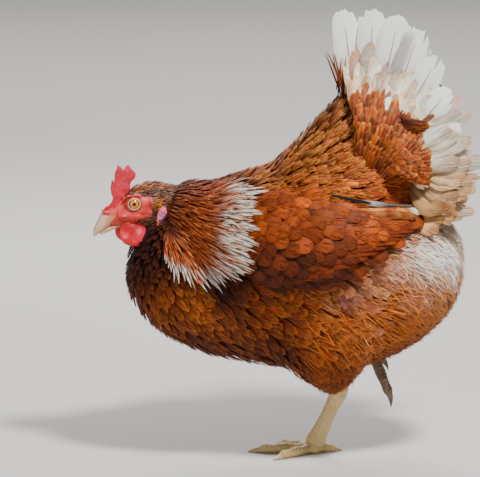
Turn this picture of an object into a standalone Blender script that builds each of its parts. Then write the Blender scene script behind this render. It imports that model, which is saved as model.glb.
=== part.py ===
"""Life-size brown laying hen, walking, with its weight on the left foot and the right foot lifted.

Metres, +Z up. The hen faces -X and its left side faces -Y. The origin is on the floor, under the
middle of the standing foot's sole, in the plane that halves the body.
"""

import math
import random

import bmesh
import bpy
import numpy as np
from mathutils import Matrix, Vector
from mathutils.bvhtree import BVHTree

# Clearances and the grain of the blended body
GAP = 0.0003
BODY_VOXEL = 0.005
BODY_KEEP = 0.066
SMOOTHING_PASSES = 8
SIDE = Vector((0, 1, 0))
LEFT, RIGHT = -1, 1

# Torso, front to back: x, height of the back, height of the belly, half width
TORSO = (
    (-0.1765, 0.190, 0.172, 0.010),
    (-0.1705, 0.214, 0.148, 0.036),
    (-0.1450, 0.237, 0.119, 0.057),
    (-0.1050, 0.2485, 0.100, 0.068),
    (-0.0820, 0.2660, 0.0945, 0.072),
    (-0.0500, 0.2780, 0.0885, 0.076),
    (0.0100, 0.284, 0.082, 0.079),
    (0.0600, 0.266, 0.091, 0.070),
    (0.1000, 0.243, 0.113, 0.056),
    (0.1280, 0.224, 0.141, 0.038),
    (0.1395, 0.205, 0.168, 0.016),
)
# Saddle, rising from the back to the root of the tail: x, z, half width, half depth
SADDLE = (
    (0.000, 0.200, 0.070, 0.082),
    (0.022, 0.236, 0.064, 0.078),
    (0.041, 0.267, 0.050, 0.069),
    (0.0561, 0.3003, 0.033, 0.0575),
    (0.0640, 0.3196, 0.023, 0.0500),
    (0.0684, 0.3340, 0.010, 0.0360),
)
SADDLE_UP = Vector((0.86, 0, -0.51)).normalized()
# Hackle, from the nape to the tips of its feathers: x, z, half width, half height, lean of the ring
CAPE = (
    (-0.142, 0.2362, 0.022, 0.0231, 0.34),
    (-0.124, 0.2275, 0.036, 0.0303, 0.30),
    (-0.104, 0.2175, 0.056, 0.0392, 0.24),
    (-0.081, 0.2105, 0.077, 0.0520, 0.18),
    (-0.056, 0.203, 0.093, 0.062, 0.12),
)
NECK_CORE = 0.97
# Throat, from the chin down into the breast: x, z, half width, half depth
THROAT = (
    (-0.147, 0.232, 0.018, 0.022),
    (-0.143, 0.212, 0.028, 0.029),
    (-0.138, 0.188, 0.046, 0.042),
    (-0.125, 0.165, 0.054, 0.052),
)
# Planes that part the body: a point on each and its direction towards the tail
HEAD_CUT = (Vector((-0.137, 0, 0.238)), Vector((0.90, 0.10, -0.42)).normalized())
SHOULDER_CUT = (Vector((-0.101, 0, 0.205)), Vector((0.92, 0, -0.39)).normalized())
RUMP_CUT = (Vector((0.058, 0, 0.297)), Vector((0.51, 0, 0.86)).normalized())

# Head
HEAD_YAW = math.radians(14)
HEAD_PIVOT = Vector((-0.140, 0, 0.238))
# x, z, half width, half height, from the bill to the nape, before the head turns
SKULL = (
    (-0.1960, 0.2310, 0.0056, 0.0070),
    (-0.1900, 0.2325, 0.0086, 0.0108),
    (-0.1800, 0.2378, 0.0122, 0.0168),
    (-0.1670, 0.2415, 0.0154, 0.0212),
    (-0.1530, 0.2415, 0.0180, 0.0224),
    (-0.1400, 0.2378, 0.0212, 0.0232),
    (-0.1260, 0.2310, 0.0295, 0.0270),
)
EYE_PLACE = Vector((-0.1735, 0.0100, 0.2451))
EYE_RADIUS = 0.0064
LID_RADIUS = 0.0066
LID_THICKNESS = 0.00095
BILL_CUT = (Vector((-0.1973, 0, 0.2307)), Vector((0.754, 0, 0.657)).normalized())
# Bill: x, z, half width, half height, lean of the ring
UPPER_BILL = (
    (-0.1890, 0.2350, 0.0078, 0.0080, -0.60),
    (-0.1930, 0.2330, 0.0074, 0.0080, -0.75),
    (-0.1973, 0.2307, 0.0068, 0.0078, -0.87),
    (-0.2026, 0.2251, 0.0055, 0.0055, -1.20),
    (-0.2069, 0.2200, 0.0038, 0.0036, -1.32),
    (-0.2096, 0.2159, 0.0018, 0.0017, -1.20),
    (-0.2105, 0.2136, 0.0006, 0.0006, -1.20),
)
LOWER_BILL = (
    (-0.1860, 0.2246, 0.0064, 0.0026, -0.30),
    (-0.1930, 0.2222, 0.0058, 0.0026, -0.40),
    (-0.1991, 0.2190, 0.0044, 0.0021, -0.50),
    (-0.2045, 0.2160, 0.0018, 0.0010, -0.50),
)
BILL_COLLAR = 0.0004
# The throat wraps the jaw up to this height
CHIN_HEIGHT = 0.222
# The line of the mouth, from the bill to its corner: x, y, z, half depth, half width
MOUTH_LINE = (
    (-0.1960, 0.0072, 0.2230, 0.0008, 0.0016),
    (-0.1900, 0.0086, 0.2256, 0.0008, 0.0016),
    (-0.1830, 0.0102, 0.2278, 0.0008, 0.0016),
    (-0.1764, 0.0118, 0.2289, 0.0005, 0.0014),
)
NOSTRIL = Vector((-0.1990, 0.0060, 0.2345))
NOSTRIL_RADII = (0.0021, 0.0016, 0.0009)
# Comb outline in the plane of the head, bill to nape: points and notches, then the root
COMB_OUTLINE = (
    (-0.2013, 0.2372), (-0.1985, 0.2418), (-0.1950, 0.2434), (-0.1922, 0.2465),
    (-0.1914, 0.2501), (-0.1930, 0.2537), (-0.1937, 0.2594), (-0.1920, 0.2674),
    (-0.1897, 0.2632), (-0.1896, 0.2722), (-0.1879, 0.2774), (-0.1866, 0.2742),
    (-0.1873, 0.2817), (-0.1840, 0.2795), (-0.1814, 0.2762), (-0.1793, 0.2795),
    (-0.1767, 0.2815), (-0.1738, 0.2770), (-0.1696, 0.2729), (-0.1708, 0.2682),
    (-0.1742, 0.2654), (-0.1750, 0.2606), (-0.1770, 0.2540), (-0.1830, 0.2470),
    (-0.1900, 0.2370), (-0.1960, 0.2330),
)
COMB_THICKNESS = 0.0046
COMB_SWAY = 0.0018
# Wattle, root to tip: x, z, half length, half thickness
WATTLE = (
    (-0.1742, 0.2275, 0.0090, 0.0026),
    (-0.1745, 0.2220, 0.0122, 0.0028),
    (-0.1745, 0.2150, 0.0132, 0.0034),
    (-0.1735, 0.2090, 0.0112, 0.0036),
    (-0.1722, 0.2052, 0.0062, 0.0024),
)
# Ear lobe, top to bottom: x, z, half length, half thickness
EARLOBE = (
    (-0.1478, 0.2430, 0.0014, 0.0013),
    (-0.1479, 0.2405, 0.0034, 0.0026),
    (-0.1484, 0.2350, 0.0052, 0.0036),
    (-0.1500, 0.2275, 0.0046, 0.0036),
    (-0.1536, 0.2195, 0.0028, 0.0024),
    (-0.1560, 0.2160, 0.0013, 0.0013),
)
EAR_TUFT = Vector((-0.1548, 0.0178, 0.2460))
EAR_TUFT_RADII = (0.0062, 0.0032, 0.0036)
BROW = Vector((-0.172, 0.0106, 0.2534))
BROW_RADII = (0.011, 0.0032, 0.0024)

# Wing, shoulder to tip: x, height of its top edge, height of its lower edge
WING = (
    (-0.088, 0.226, 0.2120),
    (-0.070, 0.248, 0.1930),
    (-0.035, 0.256, 0.1780),
    (0.010, 0.254, 0.1800),
    (0.050, 0.244, 0.2053),
    (0.080, 0.238, 0.2210),
    (0.094, 0.234, 0.2275),
)
WING_EDGE = 0.0022
WING_CROWN = 0.013
WING_SINK = 0.004
# Where the flight feathers start and end, from the top of the wing to its lower edge: x, z
QUILL_ROOTS = ((-0.004, 0.245), (-0.020, 0.236), (-0.034, 0.226), (-0.046, 0.214), (-0.056, 0.203), (-0.066, 0.195))
QUILL_TIPS = ((0.101, 0.233), (0.095, 0.229), (0.082, 0.222), (0.060, 0.212), (0.028, 0.197), (-0.008, 0.187))
# Tiers of the wing: number, start and end along the way from root to tip, width, lift at the tip
WING_TIERS = (
    (7, 0.10, 1.00, 0.0175, 0.0006),
    (5, 0.00, 0.62, 0.0205, 0.0026),
    (4, -0.10, 0.30, 0.0225, 0.0044),
)
# A wing feather starts this far under the shield, and its lower edge lies over the next one
WING_VANE_SUNK = 0.0016
WING_VANE_THICKNESS = 0.0008
WING_VANE_RISE = 0.0004
WING_VANE_TILT = 0.0006

# Hackle tiers: number, start and end along the cape, width, lift over the cape
HACKLE_TIERS = (
    (15, 0.32, 1.00, 0.0230, 0.0000),
    (11, 0.14, 0.74, 0.0200, 0.0024),
    (8, 0.00, 0.44, 0.0160, 0.0048),
)
HACKLE_THICKNESS = 0.0008
HACKLE_TILT = 0.0009
HACKLE_SPAN = (math.radians(-42), math.radians(222))
# Over the back the hackle ends sooner: how much sooner at the top, and over how wide a turn
HACKLE_TOP_CUT = 0.42
HACKLE_TOP_SPREAD = math.radians(19)
# Its lower edges end sooner too: from this far off the top, by this much at their ends
HACKLE_LOW_FROM = math.radians(98)
HACKLE_LOW_CUT = 0.34
HACKLE_SUNK = 0.0038
HACKLE_CLEAR = (0.0022, 0.0050)
# Most that it is lifted to clear what it covers, and how much less at the top
HACKLE_MOST_LIFT = 0.014
HACKLE_FLAT_TOP = 0.011
HACKLE_FLAT_SPREAD = math.radians(28)

TAIL_VANE_THICKNESS = 0.0010
TAIL_VANE_ARCH = 0.0010
TAIL_VANE_TILT = 0.0020
# A tail feather bows outwards by this much and this share of its tip's distance from the middle,
# and each root lies this far under the one above it
TAIL_BOW = 0.002
TAIL_BOW_SHARE = 0.25
TAIL_ROOT_STEP = 0.0018
# Tail feathers of one side, top to bottom: root x, z, tip x, y, z, width
TAIL_QUILLS = (
    (0.043, 0.330, 0.026, 0.002, 0.428, 0.028),
    (0.053, 0.328, 0.054, 0.007, 0.429, 0.029),
    (0.060, 0.325, 0.078, 0.013, 0.424, 0.030),
    (0.068, 0.320, 0.098, 0.019, 0.413, 0.030),
    (0.075, 0.313, 0.115, 0.025, 0.386, 0.029),
    (0.081, 0.305, 0.126, 0.030, 0.356, 0.028),
    (0.086, 0.296, 0.135, 0.034, 0.325, 0.028),
)
# Fluff that fills the hollow between the two sides of the tail: centre and radii
TAIL_FILL = (Vector((0.088, 0, 0.316)), (0.046, 0.018, 0.062))
TAIL_COVERTS = (
    (0.088, 0.300, 0.144, 0.037, 0.299, 0.032),
    (0.089, 0.294, 0.148, 0.040, 0.268, 0.034),
    (0.086, 0.288, 0.138, 0.042, 0.243, 0.034),
)

# Legs
# Standing thigh in its feathers: x, y, z, half depth, half width
THIGH_LEFT = (
    (0.008, -0.038, 0.175, 0.072, 0.034),
    (0.009, -0.040, 0.138, 0.066, 0.036),
    (0.013, -0.036, 0.110, 0.050, 0.032),
    (0.017, -0.027, 0.090, 0.032, 0.023),
    (0.020, -0.018, 0.0755, 0.0175, 0.0145),
    (0.023, -0.0145, 0.0690, 0.0120, 0.0105),
)
THIGH_RIGHT = (
    (-0.010, 0.038, 0.180, 0.060, 0.034),
    (0.008, 0.042, 0.150, 0.056, 0.036),
    (0.036, 0.043, 0.138, 0.042, 0.031),
    (0.062, 0.039, 0.136, 0.026, 0.023),
    (0.082, 0.036, 0.138, 0.012, 0.013),
)
# Shanks from the hock to the foot: x, y, z, half depth, half width
SHANK_LEFT = (
    (0.0250, -0.0135, 0.0640, 0.0092, 0.0074),
    (0.0195, -0.0095, 0.0510, 0.0072, 0.0058),
    (0.0130, -0.0055, 0.0360, 0.0070, 0.0055),
    (0.0065, -0.0020, 0.0210, 0.0080, 0.0064),
    (0.0025, 0.0000, 0.0125, 0.0092, 0.0080),
    (0.0010, 0.0000, 0.0070, 0.0078, 0.0070),
)
SHANK_RIGHT = (
    (0.1060, 0.0320, 0.1520, 0.0090, 0.0074),
    (0.0880, 0.0330, 0.1310, 0.0072, 0.0058),
    (0.0740, 0.0340, 0.1140, 0.0070, 0.0056),
    (0.0620, 0.0345, 0.0990, 0.0082, 0.0068),
)
SCUTES_PER_SHANK = 8
SCUTE_RISE = 0.0006
SOLE_HEIGHT = 0.0052
# Share of a toe's length and how thick it is there: pads swell under the joints
TOE_SWELL = ((0, 1.15), (0.28, 0.95), (0.5, 1.08), (0.74, 0.88), (0.9, 0.95), (1.0, 0.66))
TOE_START = 0.003
FOOT_PAD_RADII = (0.0098, 0.0088, 0.0070)
# A claw is this share of its toe's thickness, and its tip drops by this much
CLAW_SHARE = 0.56
CLAW_SAG_FLAT = 0.0022
CLAW_SAG_LIFTED = 0.0035
# Toes of a foot: turn from straight ahead in degrees, length without claw, thickness, claw length
TOES = {
    "inner": (38, 0.034, 0.0046, 0.011),
    "middle": (0, 0.048, 0.0050, 0.012),
    "outer": (-40, 0.038, 0.0045, 0.010),
    "hind": (168, 0.017, 0.0040, 0.009),
}
# Way of the standing foot's hind toe
STANDING_HIND = Vector((0.97, 0.22, 0))
# The lifted foot hangs from here; each toe's direction is given by its turn about the hanging line
LIFTED_FOOT = Vector((0.0555, 0.0350, 0.0960))
LIFTED_HANG = Vector((0.38, 0.00, -0.92)).normalized()
LIFTED_HIND = Vector((0.70, -0.10, -0.70)).normalized()
LIFTED_SPREAD = 0.33

COLOURS = {
    "rufous": (0.36, 0.115, 0.035),
    "hackle": (0.30, 0.11, 0.045),
    "white": (0.80, 0.76, 0.70),
    "skin": (0.60, 0.07, 0.06),
    "face": (0.55, 0.13, 0.09),
    "lobe": (0.72, 0.45, 0.52),
    "horn": (0.62, 0.52, 0.40),
    "shank": (0.66, 0.55, 0.38),
    "eye": (0.70, 0.30, 0.04),
}


def clear_scene():
    for obj in list(bpy.data.objects):
        bpy.data.objects.remove(obj, do_unlink=True)


def new_material(name, colour, roughness):
    material = bpy.data.materials.new(name)
    material.use_nodes = True
    shader = material.node_tree.nodes["Principled BSDF"]
    shader.inputs["Base Color"].default_value = (*colour, 1)
    shader.inputs["Roughness"].default_value = roughness
    shader.inputs["Metallic"].default_value = 0
    return material


def new_object(name, points, faces):
    """A mesh object with its faces turned outwards."""
    mesh = bpy.data.meshes.new(name)
    mesh.from_pydata([tuple(p) for p in points], [], faces)
    form = bmesh.new()
    form.from_mesh(mesh)
    bmesh.ops.recalc_face_normals(form, faces=form.faces)
    if form.calc_volume(signed=True) < 0:
        bmesh.ops.reverse_faces(form, faces=form.faces)
    form.to_mesh(mesh)
    form.free()
    obj = bpy.data.objects.new(name, mesh)
    bpy.context.scene.collection.objects.link(obj)
    return obj


def finish(obj, colour, roughness=0.6):
    """Gives a node its own material and smooth shading."""
    obj.data.materials.clear()
    obj.data.materials.append(new_material(obj.name + "_finish", COLOURS[colour], roughness))
    obj.data.shade_smooth()
    obj.data.set_sharp_from_angle(angle=math.radians(50))


def remove(*objects):
    for obj in objects:
        bpy.data.objects.remove(obj, do_unlink=True)


def apply_modifiers(obj):
    """Replaces the object's mesh by what its modifiers make of it."""
    bpy.context.view_layer.update()
    graph = bpy.context.evaluated_depsgraph_get()
    made = bpy.data.meshes.new_from_object(obj.evaluated_get(graph))
    obj.modifiers.clear()
    obj.data = made


def keep_largest(obj):
    """Leaves only the object's largest closed surface."""
    form = bmesh.new()
    form.from_mesh(obj.data)
    form.faces.ensure_lookup_table()
    seen, shells = set(), []
    for start in form.faces:
        if start in seen:
            continue
        shell, waiting = [], [start]
        seen.add(start)
        while waiting:
            face = waiting.pop()
            shell.append(face)
            for edge in face.edges:
                for other in edge.link_faces:
                    if other not in seen:
                        seen.add(other)
                        waiting.append(other)
        shells.append(shell)
    shells.sort(key=lambda shell: -sum(face.calc_area() for face in shell))
    for shell in shells[1:]:
        bmesh.ops.delete(form, geom=shell, context="FACES")
    bmesh.ops.triangulate(form, faces=form.faces)
    form.to_mesh(obj.data)
    form.free()


def combine(obj, others, operation):
    """One Boolean between an object and a collection of closed pieces, which are then removed."""
    group = bpy.data.collections.new("pieces")
    bpy.context.scene.collection.children.link(group)
    for other in others:
        bpy.context.scene.collection.objects.unlink(other)
        group.objects.link(other)
    boolean = obj.modifiers.new("combine", "BOOLEAN")
    boolean.operation = operation
    boolean.operand_type = "COLLECTION"
    boolean.collection = group
    boolean.solver = "MANIFOLD"
    apply_modifiers(obj)
    remove(*others)
    bpy.data.collections.remove(group)
    keep_largest(obj)
    return obj


def grown(obj, by):
    """A copy of the object that stands proud of it all over, to cut room for it."""
    copy = bpy.data.objects.new(obj.name + "_room", obj.data.copy())
    bpy.context.scene.collection.objects.link(copy)
    form = bmesh.new()
    form.from_mesh(copy.data)
    bmesh.ops.triangulate(form, faces=form.faces)
    form.normal_update()
    moves = {vert: vert.normal * (by * vert.calc_shell_factor()) for vert in form.verts}
    for vert, move in moves.items():
        vert.co += move
    form.to_mesh(copy.data)
    form.free()
    return copy


def along(stations, count):
    """Smooth values at even steps along a short list of stations (a Catmull-Rom curve)."""
    rows = np.array(stations, float)
    rows = np.vstack([2 * rows[0] - rows[1], rows, 2 * rows[-1] - rows[-2]])
    values = []
    for place in np.linspace(0, len(stations) - 1, count):
        i = min(int(place), len(stations) - 2)
        t = place - i
        a, b, c, d = rows[i : i + 4]
        bend, twist = 2 * a - 5 * b + 4 * c - d, 3 * b - a - 3 * c + d
        values.append(0.5 * (2 * b + (c - a) * t + bend * t**2 + twist * t**3))
    return values


def at(stations, place):
    """The value at one place, 0 to 1, along a list of stations; it runs on past both ends."""
    rows = along(stations, 2 * len(stations) - 1)
    step = place * (len(rows) - 1)
    i = int(min(max(step, 0), len(rows) - 2))
    return rows[i] + (rows[i + 1] - rows[i]) * (step - i)


def ring(centre, side, up, half_side, half_up, sides):
    """Points round an ellipse."""
    turns = [2 * math.pi * k / sides for k in range(sides)]
    return [centre + side * (half_side * math.cos(a)) + up * (half_up * math.sin(a)) for a in turns]


def loft(name, rings):
    """A closed body through rings with the same number of points, with a flat cap at each end."""
    sides = len(rings[0])
    points = [p for one in rings for p in one]
    faces = []
    for i in range(len(rings) - 1):
        for k in range(sides):
            n = (k + 1) % sides
            faces.append((i * sides + k, i * sides + n, (i + 1) * sides + n, (i + 1) * sides + k))
    faces.append(tuple(range(sides)))
    faces.append(tuple((len(rings) - 1) * sides + k for k in range(sides)))
    return new_object(name, points, faces)


def plate(name, top, bottom):
    """A thin closed plate between two grids of points, split into triangles alike on both faces."""
    rows, columns = len(top), len(top[0])
    points = [p for row in top for p in row] + [p for row in bottom for p in row]
    under = rows * columns
    faces = []
    for i in range(rows - 1):
        for j in range(columns - 1):
            a, b = i * columns + j, i * columns + j + 1
            c, d = b + columns, a + columns
            faces += [(a, b, c), (a, c, d)]
            faces += [(under + a, under + c, under + b), (under + a, under + d, under + c)]
    border = [j for j in range(columns)]
    border += [i * columns + columns - 1 for i in range(1, rows)]
    border += [(rows - 1) * columns + j for j in range(columns - 2, -1, -1)]
    border += [i * columns for i in range(rows - 2, 0, -1)]
    for a, b in zip(border, border[1:] + border[:1]):
        faces += [(a, under + a, b), (b, under + a, under + b)]
    return new_object(name, points, faces)


def limb(name, stations, count, sides, raised=0, rise=0.0):
    """A round limb through stations of x, y, z, half depth and half width, with raised scutes if asked."""
    values = along(stations, count)
    centres = [Vector(v[:3]) for v in values]
    rings = []
    for i, value in enumerate(values):
        ahead = (centres[min(i + 1, count - 1)] - centres[max(i - 1, 0)]).normalized()
        depth = SIDE.cross(ahead).normalized()
        width = ahead.cross(depth).normalized()
        step = rise if raised and i % 2 == 0 and 0 < i < count - 1 else 0.0
        rings.append(ring(centres[i], width, depth, value[4] + step * 0.5, value[3] + step, sides))
    return loft(name, rings)


def part_off(obj, name, plane, keep, gap=GAP / 2):
    """The piece of a closed body on one side of a plane (keep 1 is the side the plane points to)."""
    point, normal = plane
    copy = bpy.data.objects.new(name, obj.data.copy())
    bpy.context.scene.collection.objects.link(copy)
    form = bmesh.new()
    form.from_mesh(copy.data)
    geometry = list(form.verts) + list(form.edges) + list(form.faces)
    bmesh.ops.bisect_plane(
        form,
        geom=geometry,
        dist=1e-7,
        plane_co=point + normal * (gap * keep),
        plane_no=normal,
        clear_inner=keep > 0,
        clear_outer=keep < 0,
    )
    rim = [edge for edge in form.edges if edge.is_boundary]
    bmesh.ops.holes_fill(form, edges=rim, sides=0)
    bmesh.ops.triangulate(form, faces=form.faces)
    bmesh.ops.recalc_face_normals(form, faces=form.faces)
    form.to_mesh(copy.data)
    form.free()
    return copy


def blended_body():
    """Torso, saddle, throat and neck run together into one smooth closed body."""
    torso_rings = []
    for x, top, bottom, half_width in along(TORSO, 22):
        centre = Vector((x, 0, (top + bottom) / 2))
        torso_rings.append(ring(centre, SIDE, Vector((0, 0, 1)), half_width, (top - bottom) / 2, 32))
    body = loft("body", torso_rings)

    saddle_rings = []
    for x, z, half_width, half_depth in along(SADDLE, 12):
        saddle_rings.append(ring(Vector((x, 0, z)), SIDE, SADDLE_UP, half_width, half_depth, 28))
    saddle = loft("saddle", saddle_rings)

    throat_rings = []
    for x, z, half_width, half_depth in along(THROAT, 8):
        up = Vector((1, 0, 0.25)).normalized()
        throat_rings.append(ring(Vector((x, 0, z)), SIDE, up, half_width, half_depth, 24))
    throat = loft("throat", throat_rings)

    neck_rings = []
    for x, z, half_width, half_height, lean in along(CAPE[:4], 8):
        up = Vector((lean, 0, 1)).normalized()
        half_width, half_height = half_width * NECK_CORE, half_height * NECK_CORE
        neck_rings.append(ring(Vector((x, 0, z)), SIDE, up, half_width, half_height, 24))
    nape_up = Vector((0.2, 0, 1)).normalized()
    nape_rings = [ring(Vector((x, 0, z)), SIDE, nape_up, w, h, 24) for x, z, w, h in SKULL[4:6]]
    neck = loft("neck_core", nape_rings + neck_rings[1:])

    combine(body, [saddle, throat, neck], "UNION")
    remesh = body.modifiers.new("blend", "REMESH")
    remesh.mode = "VOXEL"
    remesh.voxel_size = BODY_VOXEL
    smooth = body.modifiers.new("smooth", "SMOOTH")
    smooth.iterations = SMOOTHING_PASSES
    thin = body.modifiers.new("thin", "DECIMATE")
    thin.ratio = BODY_KEEP
    apply_modifiers(body)
    keep_largest(body)
    return body


def head_room():
    """A block in front of the nape and above the chin, which clears the neck from where the head goes."""
    half, deep, tall = 0.08, 0.12, 0.10
    point, normal = HEAD_CUT
    face = point - normal * (GAP / 2)
    across = Vector((0, 0, 1)).cross(normal).normalized()
    up = normal.cross(across)
    points = []
    for x in (0, -deep):
        for y in (-half, half):
            for z in (-tall, tall):
                points.append(face + normal * x + across * y + up * z)
    faces = [(0, 1, 3, 2), (4, 5, 7, 6), (0, 1, 5, 4), (2, 3, 7, 6), (0, 2, 6, 4), (1, 3, 7, 5)]
    block = new_object("head_block", points, faces)
    chin_cut = (Vector((0, 0, CHIN_HEIGHT)), Vector((0, 0, 1)))
    room = part_off(block, "head_room", chin_cut, 1)
    remove(block)
    return room


def turn_head(obj):
    """Turns a piece of the head towards the hen's left, about the top of the neck."""
    turn = Matrix.Rotation(HEAD_YAW, 4, "Z")
    obj.data.transform(Matrix.Translation(HEAD_PIVOT) @ turn @ Matrix.Translation(-HEAD_PIVOT))
    return obj


def ball(name, centre, radii, segments=16, rings=10):
    form = bmesh.new()
    bmesh.ops.create_uvsphere(form, u_segments=segments, v_segments=rings, radius=1)
    bmesh.ops.scale(form, vec=radii, verts=form.verts)
    bmesh.ops.translate(form, vec=centre, verts=form.verts)
    mesh = bpy.data.meshes.new(name)
    form.to_mesh(mesh)
    form.free()
    obj = bpy.data.objects.new(name, mesh)
    bpy.context.scene.collection.objects.link(obj)
    return obj


def mirrored(point, side):
    return Vector((point.x, point.y * side, point.z))


def lid(side):
    """The rim of bare skin round one eye."""
    around, across = 12, 5
    outwards = Vector((-0.16, side, 0.04)).normalized()
    right = outwards.cross(Vector((0, 0, 1))).normalized()
    up = right.cross(outwards)
    centre = mirrored(EYE_PLACE, side) + outwards * 0.0048
    rings = []
    for i in range(around):
        turn = 2 * math.pi * i / around
        spoke = right * math.cos(turn) * 1.08 + up * math.sin(turn) * 0.92
        middle = centre + spoke * (LID_RADIUS - 0.0010)
        rings.append(ring(middle, spoke.normalized(), outwards, LID_THICKNESS, LID_THICKNESS * 1.5, across))
    points = [p for one in rings for p in one]
    faces = []
    for i in range(around):
        for k in range(across):
            a, b = i * across + k, i * across + (k + 1) % across
            c, d = ((i + 1) % around) * across + (k + 1) % across, ((i + 1) % around) * across + k
            faces.append((a, b, c, d))
    return new_object("lid", points, faces)


def flap(name, stations, side, lean, place_y, sides=10, count=7):
    """A hanging flap of bare skin: stations of x, z, half length and half thickness."""
    rings = []
    top = stations[0][1]
    for x, z, half_length, half_thickness in along(stations, count):
        y = side * (place_y + (top - z) * lean)
        rings.append(ring(Vector((x, y, z)), Vector((1, 0, 0)), SIDE, half_length, half_thickness, sides))
    return loft(name, rings)


def bill(name, stations, count, wider=0.0):
    """One half of the bill, through stations of x, z, half width, half height and lean."""
    rings = []
    for x, z, half_width, half_height, lean in along(stations, count):
        up = Vector((lean, 0, 1)).normalized()
        rings.append(ring(Vector((x, 0, z)), SIDE, up, half_width + wider, half_height + wider, 14))
    return loft(name, rings)


def head_nodes():
    """Head, bill, comb, wattles, ear lobes and eyes."""
    rings = []
    up = Vector((0.12, 0, 1)).normalized()
    for x, z, half_width, half_height in along(SKULL, 11):
        rings.append(ring(Vector((x, 0, z)), SIDE, up, half_width, half_height, 16))
    skull = loft("head", rings)
    pieces = [lid(LEFT), lid(RIGHT), bill("collar", UPPER_BILL[:4], 5, BILL_COLLAR)]
    for side in (LEFT, RIGHT):
        pieces.append(ball("brow", mirrored(BROW, side), BROW_RADII, 10, 5))
        pieces.append(ball("ear_tuft", mirrored(EAR_TUFT, side), EAR_TUFT_RADII, 9, 5))
    combine(skull, pieces, "UNION")
    sockets, mouth = [], []
    for side in (LEFT, RIGHT):
        sockets.append(ball("socket", mirrored(EYE_PLACE, side), (EYE_RADIUS + GAP,) * 3, 12, 8))
        stations = [(x, side * y, z, deep, wide) for x, y, z, deep, wide in MOUTH_LINE]
        mouth.append(limb("mouth_line", stations, 5, 6))
    combine(skull, sockets + mouth, "DIFFERENCE")
    head = part_off(skull, "head", BILL_CUT, 1)
    remove(skull)
    head.name = "head"

    bills = []
    for name, stations, count in (("beak_upper", UPPER_BILL, 11), ("beak_lower", LOWER_BILL, 7)):
        bills.append(bill(name, stations, count))
    upper, lower = bills
    nostrils = [ball("nostril", mirrored(NOSTRIL, side), NOSTRIL_RADII, 8, 6) for side in (LEFT, RIGHT)]
    combine(upper, nostrils, "DIFFERENCE")
    trimmed_upper = part_off(upper, "beak_upper", BILL_CUT, -1)
    remove(upper)
    trimmed_lower = part_off(lower, "beak_lower", BILL_CUT, -1)
    remove(lower)
    upper, lower = trimmed_upper, trimmed_lower
    upper.name, lower.name = "beak_upper", "beak_lower"
    combine(lower, [grown(upper, GAP)], "DIFFERENCE")

    comb = comb_node()
    combine(comb, [grown(head, GAP), grown(upper, GAP)], "DIFFERENCE")

    nodes = {"head": head, "beak_upper": upper, "beak_lower": lower, "comb": comb}
    for side, word in ((LEFT, "left"), (RIGHT, "right")):
        wattle = flap("wattle_" + word, WATTLE, side, 0.25, 0.0050)
        combine(wattle, [grown(head, GAP), grown(lower, GAP), grown(upper, GAP)], "DIFFERENCE")
        lobe = flap("earlobe_" + word, EARLOBE, side, -0.10, 0.0185, 10, 7)
        combine(lobe, [grown(head, GAP)], "DIFFERENCE")
        eye = ball("eye_" + word, mirrored(EYE_PLACE, side), (EYE_RADIUS,) * 3, 12, 7)
        nodes.update({wattle.name: wattle, lobe.name: lobe, eye.name: eye})
    for obj in nodes.values():
        turn_head(obj)
    joined = part_off(head, "head_trimmed", HEAD_CUT, -1)
    remove(head)
    joined.name = "head"
    nodes["head"] = joined

    finish(joined, "face", 0.55)
    finish(upper, "horn", 0.35)
    finish(lower, "horn", 0.35)
    finish(comb, "skin", 0.5)
    for word in ("left", "right"):
        finish(nodes["wattle_" + word], "skin", 0.5)
        finish(nodes["earlobe_" + word], "lobe", 0.5)
        finish(nodes["eye_" + word], "eye", 0.1)
    return nodes


def comb_node():
    """The single comb: a blade cut in points, thick at its root and swaying a little."""
    outline = [Vector((x, 0, z)) for x, z in COMB_OUTLINE]
    centre = sum(outline, Vector()) / len(outline)
    root_z = COMB_OUTLINE[-1][1]
    height = max(p.z for p in outline) - root_z
    rims = [[p.lerp(centre, share) for p in outline] for share in (0.10, 0.34)]

    def shifted(p, half):
        rise = max((p.z - root_z) / height, 0)
        sway = COMB_SWAY * math.sin(3.2 * rise + 90 * (p.x - centre.x)) * rise
        return Vector((p.x, sway + half * (1 - 0.45 * rise), p.z))

    count = len(outline)
    half = COMB_THICKNESS / 2
    points = [shifted(p, 0) for p in outline]
    for side in (LEFT, RIGHT):
        points += [shifted(p, side * half * 0.75) for p in rims[0]]
        points += [shifted(p, side * half) for p in rims[1]]
        points.append(shifted(centre, side * half))
    faces = []
    for first in (count, 3 * count + 1):
        middle = first + 2 * count
        for i in range(count):
            n = (i + 1) % count
            a, b, c, d = first + i, first + n, first + count + n, first + count + i
            faces += [(i, n, b), (i, b, a), (a, b, c), (a, c, d), (d, c, middle)]
    return new_object("comb", points, faces)


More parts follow.
